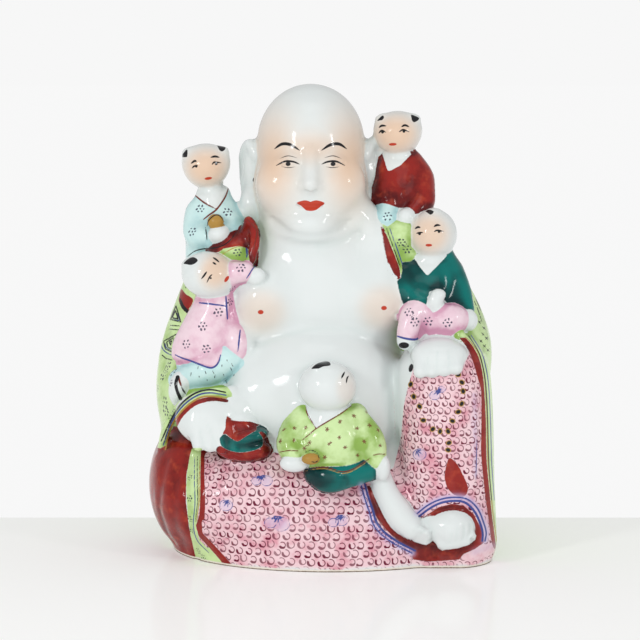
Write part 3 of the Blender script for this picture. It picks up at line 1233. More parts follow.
def paint_hems():
    """The stripes at the hem by the left foot, the arch over the right foot and the robe's right border."""
    cloth = ["skirt", "skin", "robe", "trousers_c"]
    left = [
        (361.5, 486), (365, 499), (369.4, 512), (373.6, 525), (382, 535), (393, 543), (402, 548), (412, 553)
    ]
    arch = [(417.4, 513.4), (427, 505.8), (438.7, 500), (451.8, 497.4), (466.6, 499), (477.6, 508.6)]
    arch += [(483.8, 523.2), (486.2, 533), (485, 541)]
    strip = [
        (366.6, 486), (373.3, 512), (381, 524.6), (400.6, 544.2), (411.8, 548.4), (412.5, 559.6), (430, 561.7)
    ]
    strip += [(459.4, 559.6), (463, 554.4), (475, 549), (484.4, 542), (483, 534), (480.4, 527)]
    strip += [
        (473.6, 513.8), (463.6, 505.6), (451.8, 503.8), (438.7, 507.2), (422.3, 517.8), (400, 500), (390, 484)
    ]
    patch("oxblood", strip, ["skirt", "robe"], False)
    for band in (left, arch):
        soft_path("violet", band, 6.5, 1.0, cloth)
        stroke("still", band, 6.0, ["skirt"], 0.2)
    inward = [(419, 516.4), (429, 509), (439.6, 503.4), (451.8, 501), (464.6, 502.4), (474.4, 511.4)]
    inward += [(480.8, 525), (482.8, 534), (482.2, 541)]
    strokes("blue", 1.7, [left, arch], cloth, 0.1)
    strokes("blue", 2.4, [[(x + 3.2, y - 2.2) for x, y in left], inward], cloth, 0.2)
    outer = [(459.2, 337.7), (466.5, 346.8), (472.6, 360.6), (478, 379), (481, 391.2), (481.4, 414.2)]
    outer += [(481, 450), (482, 465), (484.5, 490), (487.8, 515), (491.2, 539.5), (493.6, 547.8)]
    inner = [(463.5, 336.5), (471.1, 343.8), (478.8, 357.5), (483, 375.9), (484.9, 398.9), (486, 421.8)]
    inner += [(486.2, 444), (487, 465), (489.5, 490), (492, 515), (495.3, 539.5), (496, 548)]
    side = ["skirt", "robe"]
    patch("oxblood", [*outer, *inner[::-1]], side)
    stroke("gold", [(x + 1.2, y) for x, y in inner], 1.0, side, 0.2)
    stripe = [(468.8, 335.4), (475.7, 346.1), (480.3, 355.2), (483.3, 366.7), (485.6, 379.7), (487.2, 398.9)]
    stripe += [(488.4, 430), (489.4, 465), (492, 500)]
    for shift, colour in ((-0.4, "ink"), (2.4, "blue")):
        stroke(colour, [(x + shift, y) for x, y in stripe], 1.1, side, 0.2)
    below_foot = [(464, 557), (480, 553), (496, 546)]
    foot_shade = [(474, 552), (494, 545)]
    side_shade = [(474.5, 395), (475, 430), (475.6, 475)]
    side_line = [(477, 440), (476.4, 460), (476, 481)]
    stroke("still", below_foot, 13, ["skirt"])
    soft_path("violet", foot_shade, 7, 0.35, ["skirt"])
    soft_path("violet", side_shade, 5.0, 0.5, ["skirt"])
    stroke("blue", side_line, 0.9, ["skirt"], 0.6)
    crosses = [(481, 341), (484.5, 346), (483, 334), (486.5, 338), (488, 350), (479.5, 322), (484, 328)]
    for x, y in crosses:
        stroke("ink", [(x - 1.6, y - 1.4), (x + 1.4, y + 1.6)], 0.9, side)
        stroke("ink", [(x + 1.4, y - 1.6), (x - 1.2, y + 1.8)], 0.8, side)
    sleeve_lines = [[(473, 298), (478, 310), (482, 322)], [(475.5, 298), (481, 311)]]
    strokes("ink", 0.9, sleeve_lines, side)


def clear_right_side():
    """Plain green on the low part of the right side, where the brush lines of the front would run on."""
    x, y, z = canvas["points"].T
    gap = np.max([-41 - y, 66 - x, z - 105], axis=0)
    for name in LINES:
        canvas[name][gap < 0] = np.maximum(canvas[name][gap < 0], 3.0)
    fill("leaf", np.maximum(gap, on_forms(["skirt", "robe"]) - OVERLAP))


def paint_beads():
    beads = [
        (458.1, 374.8), (461.9, 382.4), (463.1, 391.2), (461.7, 403.8), (458.3, 411.9), (452.4, 421),
        (448.1, 431.4), (440.1, 431.4), (432.8, 429.1), (423.3, 420.3), (419.5, 406.5), (413.7, 396.6),
        (410.7, 384.3), (448.9, 442.9), (448.1, 450),
    ]
    for i, bead in enumerate(beads):
        oval_shape("gold", bead, (3.2, 2.6), 40 * i, ["skirt"])
        oval_shape("ink", bead, (2.4, 1.8), 40 * i, ["skirt"])
    top_bead = (411, 368)
    oval_shape("ink", top_bead, (2.2, 4.2), 15, ["skirt", "skin"])
    tassel = [(449.7, 456.6), (444.7, 473.2), (446.4, 485.6), (452.2, 493.4), (461, 497), (466.6, 494)]
    tassel += [(467.9, 486.5), (462.1, 473.2), (456.3, 462.4)]
    patch("oxblood", tassel, ["skirt"])


def paint_clouds():
    """The blue-violet scrolls that lie among the marks of the skirt."""
    cloth = ["skirt", "robe"]
    scrolls = [
        ((260.5, 476.0), [((256.2, 481), 4.6), ((266.4, 480.8), 5.8)]),
        ((227.2, 500.4), [((226.1, 505.2), 6.4)]),
        ((277.4, 516.0), [((270.6, 522.8), 6.0), ((281.6, 524.2), 7.8)]),
        ((341.0, 515.6), [((333.4, 522.6), 5.0), ((341.6, 520.4), 6.2)]),
        ((416.7, 450.2), [((419.6, 454.4), 6.4)]),
        ((438.4, 390.8), [((434.8, 395.4), 5.0), ((441.6, 389.4), 3.6)]),
    ]
    for top, lobes in scrolls:
        for middle, radius in lobes:
            oval_shape("still", middle, (radius + 0.6, radius + 0.2), on=cloth)
            soft_oval("violet", middle, (radius, 0.9 * radius), strength=0.55, on=cloth)
            oval_shape("blue", middle, (radius, 0.86 * radius), on=cloth, ring=0.8)
            for turn in (-50, -18, 14, 46):
                lean = math.atan2(middle[1] - top[1], middle[0] - top[0]) + math.radians(turn)
                reach = 1.25 * radius * math.cos(math.radians(turn))
                end = (top[0] + reach * math.cos(lean), top[1] + reach * math.sin(lean))
                stroke("blue", [top, end], 1.2, cloth, 0.8)


def at_face(*places):
    """Where places on the face show, given in millimetres across from its middle and up from the foot."""
    across, down = seen_at(np.array([[HEAD_X + x, -34.0, z] for x, z in places]))
    return [(float(a), float(b)) for a, b in zip(across, down)]


def paint_monk_face():
    """The monk's face in its own plain design: brows, lids, irises, lips and the flush of the skin."""
    on = ["skin"]
    for side in (-1, 1):
        brow = at_face((side * 5.6, 217.8), (side * 10.4, 220.8), (side * 15, 221.2), (side * 19, 218.6))
        stroke("ink", brow, 3.2, on, 0.85)
        lid = at_face((side * 5.8, 210.6), (side * 9, 211.9), (side * 13.4, 212.1), (side * 18, 209.9))
        stroke("ink", lid, 2.0, on, 0.7)
        stroke("ink", at_face((side * 7, 213.9), (side * 11.8, 215.0), (side * 16.4, 213.5)), 0.8, on, 0.9)
        stroke("ink", at_face((side * 8, 209.2), (side * 11.6, 208.8), (side * 15.4, 209.3)), 0.7, on, 0.9)
        oval_shape("ink", at_face((side * 11.8, 210.7))[0], (2.5, 2.1), on=on)
        soft_oval("blush", at_face((side * 20, 211))[0], (24, 46), 0, 1.0, on, 1)
        soft_oval("blush", at_face((side * 14, 203))[0], (14, 14), 0, 0.7, on, 1)
    bow = [(-7.4, 190.0), (-3.6, 191.5), (-1.1, 191.2), (0, 190.8), (1.1, 191.2), (3.6, 191.5), (7.4, 190.0)]
    upper_lip = at_face(*bow, (3.6, 187.6), (0, 187.3), (-3.6, 187.6))
    lower_lip = at_face((-5.8, 189.4), (0, 188.9), (5.8, 189.4), (3.2, 186.6), (0, 185.9), (-3.2, 186.6))
    between = at_face((-7.4, 190.1), (-3.6, 189.1), (0, 188.8), (3.6, 189.1), (7.4, 190.1))
    patch("coral", upper_lip, on)
    patch("coral", lower_lip, on)
    stroke("russet", between, 1.4, on, 0.6)
    soft_oval("blush", at_face((0, 219))[0], (50, 17), strength=0.7, on=on, power=1)


def paint_monk_body():
    """The ear's opening, the shade between fingers and toes and in the creases, and the chest."""
    on = ["skin"]
    ear_opening = (254.4, 179.8)
    oval_shape("ink", ear_opening, (1.7, 2.6), 10, ["ear"])
    joins = [
        [(413.9, 529.3), (417.8, 536)], [(417.1, 526.6), (421.6, 533.8)], [(420.1, 524.8), (425, 531.6)],
        [(451, 533), (450, 542)], [(457.8, 529), (457, 541)], [(464.1, 526.5), (463.4, 539.5)],
        [(470, 525), (470, 536.5)], [(427.7, 357), (427.7, 371.6)], [(437.5, 352), (437.5, 371)],
        [(448.5, 352), (449, 370)], [(190.7, 434), (192.8, 447)], [(199.9, 431), (204, 448)],
        [(208, 425.7), (214, 441)],
    ]
    for places in joins:
        soft_path("pool", places, 2.4, 0.8, on)
    neck = [(371, 196), (366, 213), (356, 229), (341, 240.5), (318, 246)]
    soft_path("pool", neck, 11, 0.8, on)
    wrist = [(221.6, 401), (229, 406.5), (237, 414), (245, 419)]
    soft_path("pool", wrist, 3, 0.6, on)
    belly = [(241, 366), (250, 354), (265, 343), (285, 335), (308, 329.5), (329, 327.5), (352, 330)]
    belly += [(375, 337), (392, 346)]
    soft_path("pool", belly, 7, 0.7, on)
    chest = ((260.7, 312.1), (384, 308))
    for middle in chest:
        soft_oval("blush", middle, (25, 22), strength=0.5, on=on)
        oval_shape("coral", middle, (2.9, 2.2), on=on)


def paint_all(mesh):
    """Paints the whole figure. A ground laid later covers the earlier ones, so the order counts."""
    start_canvas(mesh)
    paint_grounds()
    paint_skirt()
    paint_collars()
    paint_left_side()
    paint_sack()
    paint_hems()
    clear_right_side()
    paint_beads()
    paint_clouds()
    paint_monk_face()
    paint_monk_body()
    paint_faces()
    paint_child_a()
    paint_child_b()
    paint_child_c()
    paint_child_d()
    paint_child_e()


# What the glaze reads from the surface

# Three fields to an attribute: gaps of grounds and lines, places on cloth and flowers, and soft weights
KEPT = {
    "ground_one": FILLS[:3],
    "ground_two": FILLS[3:],
    "line_one": LINES[:3],
    "line_two": (*LINES[3:], "still"),
    "cloth": ("cloth_across", "cloth_up", "violet"),
    "motif": ("motif_across", "motif_up", "motif_far"),
    "tint": ("blush", "hollow", "star"),
}
WIDEST_GAP = 9.0  # gaps are kept no wider than this, in millimetres
HOLLOW_PROBES = ((1.2, 0.3), (3.0, 0.35), (6.0, 0.35))  # how far out the clay is felt for, and its share

# The skirt's cloth is unrolled round the lap, over the thigh and round the knee
LAP_MIDDLE = (-8, -6)  # across and in depth, as is the knee's
THIGH_MIDDLE = (-27, 30)  # in depth and up
THIGH_RADIUS = 38
KNEE_MIDDLE = (66, -38)
KNEE_RADIUS = 26
KNEE_MARKS = 1.15  # how much closer together the marks stand on the knee than in the lap

# The rows of flowers on the back of the robe
FLOWER_ROWS = np.arange(22, 180, 15)
FLOWER_STEP = 17
BACK_RADIUS = 70


def shade_in_hollows(points, normals):
    """How deep each point lies in a hollow, from 0 on open swells to 1 in tight creases."""
    near = near_forms(points, 9.0)
    shade = np.zeros(len(points))
    for reach, share in HOLLOW_PROBES:
        probe = points + normals * reach
        shade += share * np.clip((reach - clay_gap(probe, near)) / reach, 0, 1)
    return np.clip(1.4 * shade, 0, 1)


def cloth_places(points):
    """Where each point lies on the unrolled cloth of the skirt: across and up, in millimetres."""
    x, y, z = points.T
    from_lap, before_lap = x - LAP_MIDDLE[0], y - LAP_MIDDLE[1]
    round_lap = np.hypot(from_lap, before_lap) * np.arctan2(from_lap, -before_lap)
    above = z - THIGH_MIDDLE[1]
    over_thigh = np.where(above > 0, THIGH_RADIUS * np.arctan2(above, THIGH_MIDDLE[0] - y), above)
    thigh = np.stack([round_lap, over_thigh], axis=1)
    round_knee = KNEE_RADIUS * np.arctan2(x - KNEE_MIDDLE[0], KNEE_MIDDLE[1] - y)
    knee = KNEE_MARKS * np.stack([round_knee, z], axis=1)
    on_knee = x > np.where(z < 26, 47, 38)
    return np.where(on_knee[:, None], knee, thigh)


def robe_flowers():
    """Rows of dot flowers over the sides and back of the robe, which the picture does not show."""
    points = canvas["points"]
    on_robe = np.flatnonzero((on_forms(["robe"]) < -2) & (canvas["away"] > 1.2) & (points[:, 2] > 14))
    x, y, z = points[on_robe].T
    turn = np.arctan2(x, y - 5) * BACK_RADIUS
    spots = []
    for row, height in enumerate(FLOWER_ROWS):
        for across in np.arange(-200, 200, FLOWER_STEP) + (row % 2) * FLOWER_STEP / 2:
            far = (turn - across) ** 2 + (z - height) ** 2
            best = np.argmin(far)
            if far[best] < 4:
                spots.append(on_robe[best])
    return spots


def motif_centres():
    """The points at the middles of the flowers and stars, with the size of each and 1 for a star."""
    centres = [(index, 1.0, 0.0) for index in robe_flowers()]
    marks = [(place, size, 0.0) for size, places in FLOWERS for place in places]
    marks += [(place, 1.0, 1.0) for place in STARS]
    for place, size, star in marks:
        chosen = near_spots([place], 2.5)
        chosen = chosen[canvas["away"][chosen] < 0]
        if len(chosen):
            off = np.linalg.norm(canvas["spots"][chosen] - np.array(place), axis=1)
            best = np.argmin(off + 0.12 * canvas["points"][chosen, 1])
            centres.append((chosen[best], size, star))
    return centres


def motif_places():
    """For each point, where it lies from its nearest flower or star: across, up and how far away."""
    points, normals = canvas["points"], canvas["normals"]
    local = np.full((len(points), 3), FAR)
    star = np.zeros(len(points))
    for index, size, kind in motif_centres():
        normal = normals[index]
        level = np.cross((0.0, 0.0, 1.0), normal)
        level /= max(np.linalg.norm(level), 1e-6)
        rise = np.cross(normal, level)
        offset = points - points[index]
        far = np.linalg.norm(offset, axis=1) / size
        closer = far < np.minimum(local[:, 2], 9.0)
        local[closer, 0] = (offset[closer] @ level) / size
        local[closer, 1] = (offset[closer] @ rise) / size
        local[closer, 2] = far[closer]
        star[closer] = kind
    return local, star


def keep_all(mesh):
    """Keeps for each point of the mesh all that the glaze reads."""
    fields = {name: np.clip(canvas[name], -WIDEST_GAP, WIDEST_GAP) for name in (*FILLS, *LINES, "still")}
    fields.update(zip(KEPT["cloth"], cloth_places(canvas["points"]).T))
    local, fields["star"] = motif_places()
    fields.update(zip(KEPT["motif"], local.T))
    shade = shade_in_hollows(canvas["points"], canvas["normals"])
    fields["hollow"] = np.maximum(shade, canvas["pool"])
    fields["blush"] = canvas["blush"]
    fields["violet"] = canvas["violet"]
    for name, parts in KEPT.items():
        values = np.stack([fields[part] for part in parts], axis=1).astype(np.float32)
        layer = mesh.attributes.new(name, "FLOAT_VECTOR", "POINT")
        layer.data.foreach_set("vector", values.ravel())


# Node helpers


def add_node(tree, kind, inputs=None, **settings):
    made = tree.nodes.new(kind)
    for name, value in settings.items():
        setattr(made, name, value)
    for key, value in (inputs or {}).items():
        socket = made.inputs[key]
        if isinstance(value, bpy.types.NodeSocket):
            tree.links.new(value, socket)
        else:
            socket.default_value = value
    return made


def maths(tree, how, first, second=0.0, third=0.0):
    values = {0: first, 1: second, 2: third} if how != "SQRT" else {0: first}
    return add_node(tree, "ShaderNodeMath", values, operation=how).outputs[0]


def ramp(tree, value, low, high, to_low=0.0, to_high=1.0):
    """A soft step: to_low up to low, and to_high from high on."""
    inputs = {"Value": value, "From Min": low, "From Max": high, "To Min": to_low, "To Max": to_high}
    return add_node(tree, "ShaderNodeMapRange", inputs, interpolation_type="SMOOTHSTEP").outputs["Result"]


def mix(tree, share, first, second):
    return add_node(tree, "ShaderNodeMix", {0: share, 6: first, 7: second}, data_type="RGBA").outputs[2]


def parts_of(tree, vector):
    made = add_node(tree, "ShaderNodeSeparateXYZ", {0: vector})
    return [made.outputs[i] for i in range(3)]


def new_group(name, inputs, outputs):
    group = bpy.data.node_groups.new(name, "ShaderNodeTree")
    for label, kind in inputs:
        group.interface.new_socket(label, in_out="INPUT", socket_type=kind)
    for label, kind in outputs:
        group.interface.new_socket(label, in_out="OUTPUT", socket_type=kind)
    return group, group.nodes.new("NodeGroupInput"), group.nodes.new("NodeGroupOutput")


def use_group(tree, group, inputs):
    return add_node(tree, "ShaderNodeGroup", inputs, node_tree=group)


# Brush marks as node groups

FLOAT = "NodeSocketFloat"
VECTOR = "NodeSocketVector"


def brush_edge_group():
    """Turns how far a point lies outside a painted shape into how much enamel lies there."""
    inputs = [("Gap", FLOAT), ("Wobble", FLOAT), ("Softness", FLOAT)]
    group, given, made = new_group("brush_edge", inputs, [("Mask", FLOAT)])
    gap = maths(group, "ADD", given.outputs["Gap"], given.outputs["Wobble"])
    softness = given.outputs["Softness"]
    mask = ramp(group, gap, maths(group, "MULTIPLY", softness, -1.0), softness, 1.0, 0.0)
    group.links.new(mask, made.inputs["Mask"])
    return group


def comma_mark_group():
    """Small open rings in staggered rows: each starts with a thick dab and thins out as it comes round."""
    inputs = [("Cloth", VECTOR), ("Across", FLOAT), ("Up", FLOAT), ("Size", FLOAT)]
    group, given, made = new_group("comma_marks", inputs, [("Mark", FLOAT)])
    u, v, _ = parts_of(group, given.outputs["Cloth"])
    across, up = given.outputs["Across"], given.outputs["Up"]
    rows = maths(group, "DIVIDE", v, up)
    row = maths(group, "FLOOR", rows)
    stagger = maths(group, "FRACT", maths(group, "MULTIPLY", row, 0.5))
    cells = maths(group, "ADD", maths(group, "DIVIDE", u, across), stagger)
    cell = maths(group, "FLOOR", cells)
    address = add_node(group, "ShaderNodeCombineXYZ", {0: cell, 1: row, 2: 3.7})
    chance = add_node(group, "ShaderNodeTexWhiteNoise", {"Vector": address.outputs[0]}, noise_dimensions="3D")
    one, two, three = parts_of(group, chance.outputs["Color"])
    four = chance.outputs["Value"]
    x = maths(group, "MULTIPLY", maths(group, "SUBTRACT", maths(group, "SUBTRACT", cells, cell), 0.5), across)
    y = maths(group, "MULTIPLY", maths(group, "SUBTRACT", maths(group, "SUBTRACT", rows, row), 0.5), up)
    x = maths(group, "ADD", x, maths(group, "MULTIPLY_ADD", one, 1.5, -0.75))
    y = maths(group, "ADD", y, maths(group, "MULTIPLY_ADD", two, 0.7, -0.35))
    far = maths(group, "SQRT", maths(group, "MULTIPLY_ADD", x, x, maths(group, "MULTIPLY", y, y)))
    turn = maths(group, "ADD", maths(group, "ARCTAN2", y, x), maths(group, "MULTIPLY_ADD", three, 1.5, -0.75))
    radius = maths(group, "MULTIPLY", given.outputs["Size"], maths(group, "MULTIPLY_ADD", four, 0.3, 0.85))
    dab = maths(group, "COSINE", maths(group, "ADD", turn, math.radians(140)))
    thick = maths(group, "MULTIPLY_ADD", maths(group, "MAXIMUM", dab, 0.0), 0.46, 0.27)
    off_ring = maths(group, "ABSOLUTE", maths(group, "SUBTRACT", far, radius))
    ring = ramp(group, maths(group, "SUBTRACT", thick, off_ring), -0.1, 0.14)
    opening = maths(group, "COSINE", maths(group, "SUBTRACT", turn, math.radians(140)))
    closed = ramp(group, opening, 0.74, 0.93, 1.0, 0.0)
    strength = maths(group, "MULTIPLY_ADD", two, 0.36, 0.68)
    mark = maths(group, "MULTIPLY", maths(group, "MULTIPLY", ring, closed), strength)
    group.links.new(mark, made.inputs["Mark"])
    return group


def motif_group():
    """Six dots round a middle one, or a small star of three strokes."""
    inputs = [("Motif", VECTOR), ("Star", FLOAT), ("Swell", FLOAT)]
    group, given, made = new_group("dot_flower", inputs, [("Dots", FLOAT), ("Rays", FLOAT)])
    x, y, far = parts_of(group, given.outputs["Motif"])
    reach = maths(group, "SQRT", maths(group, "MULTIPLY_ADD", x, x, maths(group, "MULTIPLY", y, y)))
    turn = maths(group, "ADD", maths(group, "ARCTAN2", y, x), math.radians(360 + 25))
    sixth = math.radians(60)
    fold = maths(group, "SUBTRACT", maths(group, "MODULO", turn, sixth), sixth / 2)
    along = maths(group, "MULTIPLY", reach, maths(group, "COSINE", fold))
    aside = maths(group, "MULTIPLY", reach, maths(group, "SINE", fold))
    outward = maths(group, "SUBTRACT", along, 2.0)
    square = maths(group, "MULTIPLY_ADD", outward, outward, maths(group, "MULTIPLY", aside, aside))
    nearest = maths(group, "MINIMUM", maths(group, "SQRT", square), reach)
    star = ramp(group, given.outputs["Star"], 0.4, 0.6)
    beyond = maths(group, "MULTIPLY_ADD", star, 1.1, far)
    near = ramp(group, beyond, 2.7, 3.0, 1.0, 0.0)
    nearest = maths(group, "SUBTRACT", nearest, given.outputs["Swell"])
    flower = maths(group, "MULTIPLY", ramp(group, nearest, 0.44, 0.66, 1.0, 0.0), near)
    dots_only = maths(group, "MULTIPLY", flower, maths(group, "SUBTRACT", 1.0, star))
    group.links.new(dots_only, made.inputs["Dots"])
    ray = ramp(group, maths(group, "ABSOLUTE", aside), 0.14, 0.3, 1.0, 0.0)
    ray = maths(group, "MULTIPLY", ray, ramp(group, reach, 0.9, 1.4, 1.0, 0.0))
    group.links.new(maths(group, "MULTIPLY", maths(group, "MULTIPLY", ray, near), star), made.inputs["Rays"])
    return group


# Glazed and enamelled porcelain

# Each enamel where it lies thin and where it lies thick
ENAMELS = {
    "leaf": ((0.62, 0.80, 0.40), (0.27, 0.44, 0.09)),
    "skirt": ((0.86, 0.62, 0.66), (0.70, 0.30, 0.37)),
    "oxblood": ((0.29, 0.018, 0.013), (0.10, 0.006, 0.007)),
    "teal": ((0.0, 0.165, 0.148), (0.0, 0.03, 0.032)),
    "aqua": ((0.61, 0.81, 0.80), (0.42, 0.65, 0.67)),
    "rose": ((0.85, 0.66, 0.73), (0.62, 0.30, 0.43)),
}
LINE_COLOURS = {
    "gold": (0.42, 0.24, 0.05),
    "blue": (0.05, 0.07, 0.27),
    "russet": (0.16, 0.03, 0.02),
    "coral": (0.50, 0.045, 0.02),
    "ink": (0.012, 0.012, 0.014),
}
GLAZE = (0.735, 0.775, 0.77)
GLAZE_DEEP = (0.57, 0.67, 0.645)
FLUSH = (0.75, 0.51, 0.345)
VIOLET = (0.50, 0.46, 0.72)
EMBER = (0.50, 0.07, 0.03)
BISCUIT = (0.78, 0.73, 0.64)
RIM_LINE = (0.16, 0.10, 0.06)
MARK = (0.14, 0.003, 0.028)
NAVY = (0.02, 0.02, 0.06)


def glaze_material():
    made = bpy.data.materials.new("glazed_porcelain")
    made.use_nodes = True
    tree = made.node_tree
    shader = tree.nodes["Principled BSDF"]
    place = add_node(tree, "ShaderNodeTexCoord").outputs["Object"]

    def read(name):
        return add_node(tree, "ShaderNodeAttribute", attribute_name=name).outputs["Vector"]

    def clouds(scale, detail=2.0, rough=0.5):
        inputs = {"Vector": place, "Scale": scale / MM, "Detail": detail, "Roughness": rough}
        return add_node(tree, "ShaderNodeTexNoise", inputs).outputs[0]

    wobble = maths(tree, "MULTIPLY_ADD", clouds(0.9), 0.36, -0.18)
    fine_wobble = maths(tree, "MULTIPLY_ADD", clouds(0.9), 0.12, -0.06)
    uneven = clouds(0.11, 3.0, 0.6)
    grain = clouds(0.5, 3.0, 0.6)
    brush = brush_edge_group()
    gaps = {}
    for name, parts in KEPT.items():
        if name != "motif":
            gaps.update(zip(parts, parts_of(tree, read(name))))
    flush, hollow, star = (gaps[name] for name in KEPT["tint"])

    colour = mix(tree, maths(tree, "MULTIPLY", hollow, 0.38), (*GLAZE, 1), (*GLAZE_DEEP, 1))
    colour = mix(tree, maths(tree, "MULTIPLY", flush, 0.85), colour, (*FLUSH, 1))
    thick = 0.0
    masks = {}
    pooled = ramp(tree, maths(tree, "MULTIPLY_ADD", hollow, 0.9, uneven), 0.38, 1.05)
    for name in FILLS:
        thin, deep = ENAMELS[name]
        mask = use_group(tree, brush, {"Gap": gaps[name], "Wobble": wobble, "Softness": 0.16}).outputs[0]
        if name == "skirt":
            wiped = maths(tree, "MULTIPLY_ADD", uneven, 5.0 * MM, parts_of(tree, place)[2])
            mask = maths(tree, "MULTIPLY", mask, ramp(tree, wiped, 3.2 * MM, 5.4 * MM, 0.1, 1.0))
        share = pooled
        if name == "skirt":
            share = ramp(tree, uneven, 0.40, 0.72)
        if name == "teal":
            share = ramp(tree, maths(tree, "MULTIPLY_ADD", hollow, 0.9, clouds(0.08, 1.0)), 0.36, 0.95)
        enamel = mix(tree, share, (*thin, 1), (*deep, 1))
        if name == "oxblood":
            enamel = mix(tree, ramp(tree, clouds(0.2), 0.5, 0.8, 0.0, 0.5), enamel, (*EMBER, 1))
        colour = mix(tree, mask, colour, enamel)
        masks[name] = mask
        thick = mask if thick == 0.0 else maths(tree, "MAXIMUM", thick, mask)

    violet = maths(tree, "MULTIPLY", gaps["violet"], 0.75)
    colour = mix(tree, violet, colour, (*VIOLET, 1))
    spacing = {"Across": 5.3, "Up": 4.5, "Size": 1.7}
    marks = use_group(tree, comma_mark_group(), {"Cloth": read("cloth"), **spacing})
    plain = ramp(tree, gaps["still"], -0.3, 0.2)
    mark = maths(tree, "MULTIPLY", maths(tree, "MULTIPLY", marks.outputs[0], masks["skirt"]), plain)
    colour = mix(tree, mark, colour, (*MARK, 1))
    drift = add_node(tree, "ShaderNodeTexNoise", {"Vector": place, "Scale": 0.4 / MM}).outputs["Color"]
    inputs = {0: drift, 1: (1.8, 1.8, 0.0), 2: read("motif")}
    drifted = add_node(tree, "ShaderNodeVectorMath", inputs, operation="MULTIPLY_ADD").outputs[0]
    drifted = add_node(tree, "ShaderNodeVectorMath", {0: drifted, 1: (0.9, 0.9, 0.0)}, operation="SUBTRACT")
    swell = maths(tree, "MULTIPLY_ADD", clouds(0.5), 0.9, -0.45)
    motif = use_group(tree, motif_group(), {"Motif": drifted.outputs[0], "Star": star, "Swell": swell})
    colour = mix(tree, maths(tree, "MULTIPLY", motif.outputs["Dots"], 0.9), colour, (*NAVY, 1))
    rays = maths(tree, "MULTIPLY", motif.outputs["Rays"], 0.9)
    colour = mix(tree, rays, colour, (*LINE_COLOURS["russet"], 1))
    for name in LINE_COLOURS:
        gap = gaps[name]
        mask = use_group(tree, brush, {"Gap": gap, "Wobble": fine_wobble, "Softness": 0.14}).outputs[0]
        colour = mix(tree, mask, colour, (*LINE_COLOURS[name], 1))
        masks[name] = mask
    height = maths(tree, "ADD", parts_of(tree, place)[2], maths(tree, "MULTIPLY", wobble, 1.2 * MM))
    bare = ramp(tree, height, 1.2 * MM, 1.5 * MM, 1.0, 0.0)
    colour = mix(tree, bare, colour, (*BISCUIT, 1))
    colour = mix(tree, ramp(tree, height, 0.35 * MM, 0.6 * MM, 1.0, 0.0), colour, (*RIM_LINE, 1))
    tree.links.new(colour, shader.inputs["Base Color"])

    rough = maths(tree, "MULTIPLY_ADD", grain, 0.06, 0.07)
    rough = maths(tree, "MULTIPLY_ADD", thick, 0.02, rough)
    rough = maths(tree, "MULTIPLY_ADD", masks["gold"], 0.15, rough)
    rough = maths(tree, "MULTIPLY_ADD", bare, 0.45, rough)
    tree.links.new(rough, shader.inputs["Roughness"])
    height = maths(tree, "MULTIPLY_ADD", thick, 0.12, maths(tree, "MULTIPLY", clouds(0.12, 0.0), 0.9))
    bump = add_node(tree, "ShaderNodeBump", {"Strength": 0.35, "Distance": 1.0 * MM, "Height": height})
    tree.links.new(bump.outputs[0], shader.inputs["Normal"])
    shader.inputs["IOR"].default_value = 1.5
    shader.inputs["Specular IOR Level"].default_value = 0.26
    return made


# Making the figure

FACE_FORMS = [f"face_{child}" for child in "abcde"]
FINE_FORMS = [*FACE_FORMS, "child_skin", "peach", "mouth", "ribbon", "ear"]


def smallest(names, fields):
    return np.min([fields[name] for name in names], axis=0)


def on_monk_face(points, half_width, middle, half_height):
    """The points on the front of the monk's head, so far to each side and so far up and down."""
    x, y, z = points.T
    return (np.abs(x - HEAD_X) < half_width) & (y < -18) & (np.abs(z - middle) < half_height)


def worth_more_points():
    """What is gone over twice as closely: children, face, hands, feet and painted edges, where they show."""
    points, forms = canvas["points"], canvas["forms"]
    x, y, z = points.T
    seen = canvas["away"] < 1
    small = (smallest(FINE_FORMS, forms) < 2) & seen
    hands = (forms["skin"] < 1.0) & (y < -44) & (np.abs(x) > 44) & (z < 130)
    feet = (forms["skin"] < 1.0) & (y < -50) & (x > 18) & (z < 60)
    edges = seen & (canvas["edge"] < 1.9)
    return small | on_monk_face(points, 26, 198, 32) | hands | feet | (smallest(LINES, canvas) < 2.0) | edges


def on_face_strokes():
    """The brush strokes on the monk's and the children's faces."""
    faces = on_monk_face(canvas["points"], 24, 205, 22) | (smallest(FACE_FORMS, canvas["forms"]) < 1)
    return (smallest(LINES, canvas) < 0.2) & faces


def press_to_clay(mesh, smoothing, rounds):
    """Evens out the mesh's points and moves them on to the surface of the clay."""
    points = relax(mesh, corners(mesh), smoothing)
    lay(mesh, settle(points, near_forms(points), rounds))


def model_figure():
    """Fuses the clay, and goes over it more closely three times, each time where the painting asks for it."""
    mesh = fused_clay()
    press_to_clay(mesh, 2, 3)
    paint_all(mesh)
    press_seen_creases()
    refine(mesh, worth_more_points())
    press_to_clay(mesh, 1, 3)
    paint_all(mesh)
    refine(mesh, smallest(LINES, canvas) < 0.55)
    press_to_clay(mesh, 0, 2)
    paint_all(mesh)
    refine(mesh, on_face_strokes())
    press_to_clay(mesh, 0, 2)
    mesh.polygons.foreach_set("use_smooth", [True] * len(mesh.polygons))
    mesh.update()
    paint_all(mesh)
    keep_all(mesh)
    mesh.materials.clear()
    mesh.materials.append(glaze_material())
    return mesh


figure = bpy.data.objects.new("glazed_figure", model_figure())
bpy.context.collection.objects.link(figure)
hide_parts("budai_figure")
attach(figure, "root")

# Table, backdrop and light


def plain_material(name, colour, roughness, glow=0.0, bend=1.45):
    made = bpy.data.materials.new(name)
    made.use_nodes = True
    shader = made.node_tree.nodes["Principled BSDF"]
    shader.inputs["Base Color"].default_value = (*colour, 1)
    shader.inputs["Roughness"].default_value = roughness
    shader.inputs["IOR"].default_value = bend
    shader.inputs["Emission Color"].default_value = (1, 1, 1, 1)
    shader.inputs["Emission Strength"].default_value = glow
    return made


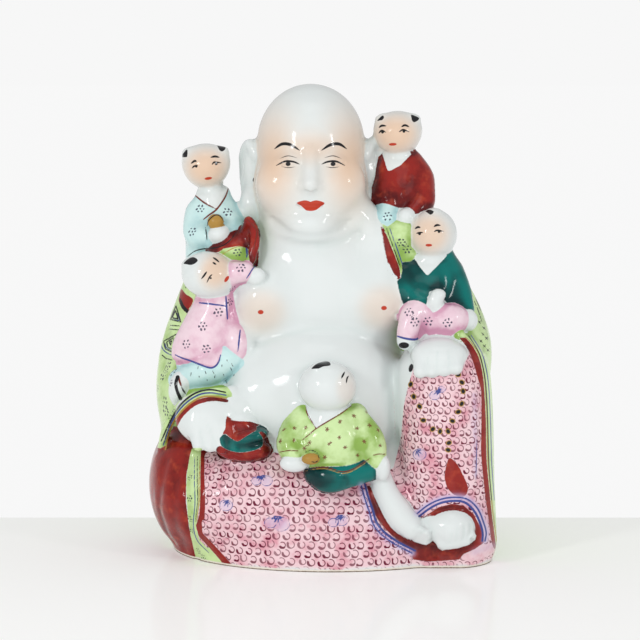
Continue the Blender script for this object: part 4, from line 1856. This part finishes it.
def stage_plane(name, corners_mm, made):
    mesh = bmesh.new()
    mesh.faces.new([mesh.verts.new(Vector(c) * MM) for c in corners_mm])
    data = bpy.data.meshes.new(name)
    mesh.to_mesh(data)
    mesh.free()
    data.materials.append(made)
    plane = bpy.data.objects.new(name, data)
    bpy.context.collection.objects.link(plane)


def soft_light(name, place, aim, size, power):
    """A soft box: a glowing rectangle turned to the figure. Power is in watts."""
    data = bpy.data.lights.new(name, "AREA")
    data.shape = "RECTANGLE"
    data.size, data.size_y = size[0] * MM, size[1] * MM
    data.energy = power
    lamp = bpy.data.objects.new(name, data)
    bpy.context.collection.objects.link(lamp)
    lamp.location = Vector(place) * MM
    lamp.rotation_euler = (Vector(aim) - Vector(place)).to_track_quat("-Z", "Y").to_euler()


def studio_air(seen, shed):
    """The pale room: as bright as seen to the camera, and as shed on the figure."""
    world = bpy.data.worlds.new("studio_air")
    world.use_nodes = True
    tree = world.node_tree
    path = tree.nodes.new("ShaderNodeLightPath")
    level = tree.nodes.new("ShaderNodeMapRange")
    level.inputs["To Min"].default_value = shed
    level.inputs["To Max"].default_value = seen
    tree.links.new(path.outputs["Is Camera Ray"], level.inputs["Value"])
    tree.links.new(level.outputs["Result"], tree.nodes["Background"].inputs["Strength"])
    tree.nodes["Background"].inputs["Color"].default_value = (1, 1, 1, 1)
    bpy.context.scene.world = world


TABLE_EDGE = 71
stage_plane(
    "table",
    [(-1500, -1500, 0), (1500, -1500, 0), (1500, TABLE_EDGE, 0), (-1500, TABLE_EDGE, 0)],
    plain_material("table_top", (0.80, 0.80, 0.79), 0.14, 0.22, 1.08),
)
stage_plane(
    "backdrop",
    [(-3000, TABLE_EDGE, -1), (3000, TABLE_EDGE, -1), (3000, 3000, -1), (-3000, 3000, -1)],
    plain_material("backdrop_paper", (0.0, 0.0, 0.0), 1.0, 0.935, 1.0),
)
studio_air(0.93, 0.62)
MIDDLE = (0, 0, 120)
soft_light("left_box", (-750, -950, 560), MIDDLE, (150, 250), 3.2)
soft_light("right_box", (850, -800, 500), MIDDLE, (130, 220), 1.8)
soft_light("front_box", (-150, -1450, 430), MIDDLE, (1400, 900), 3.2)
soft_light("top_box", (0, -300, 1300), MIDDLE, (640, 420), 0.9)
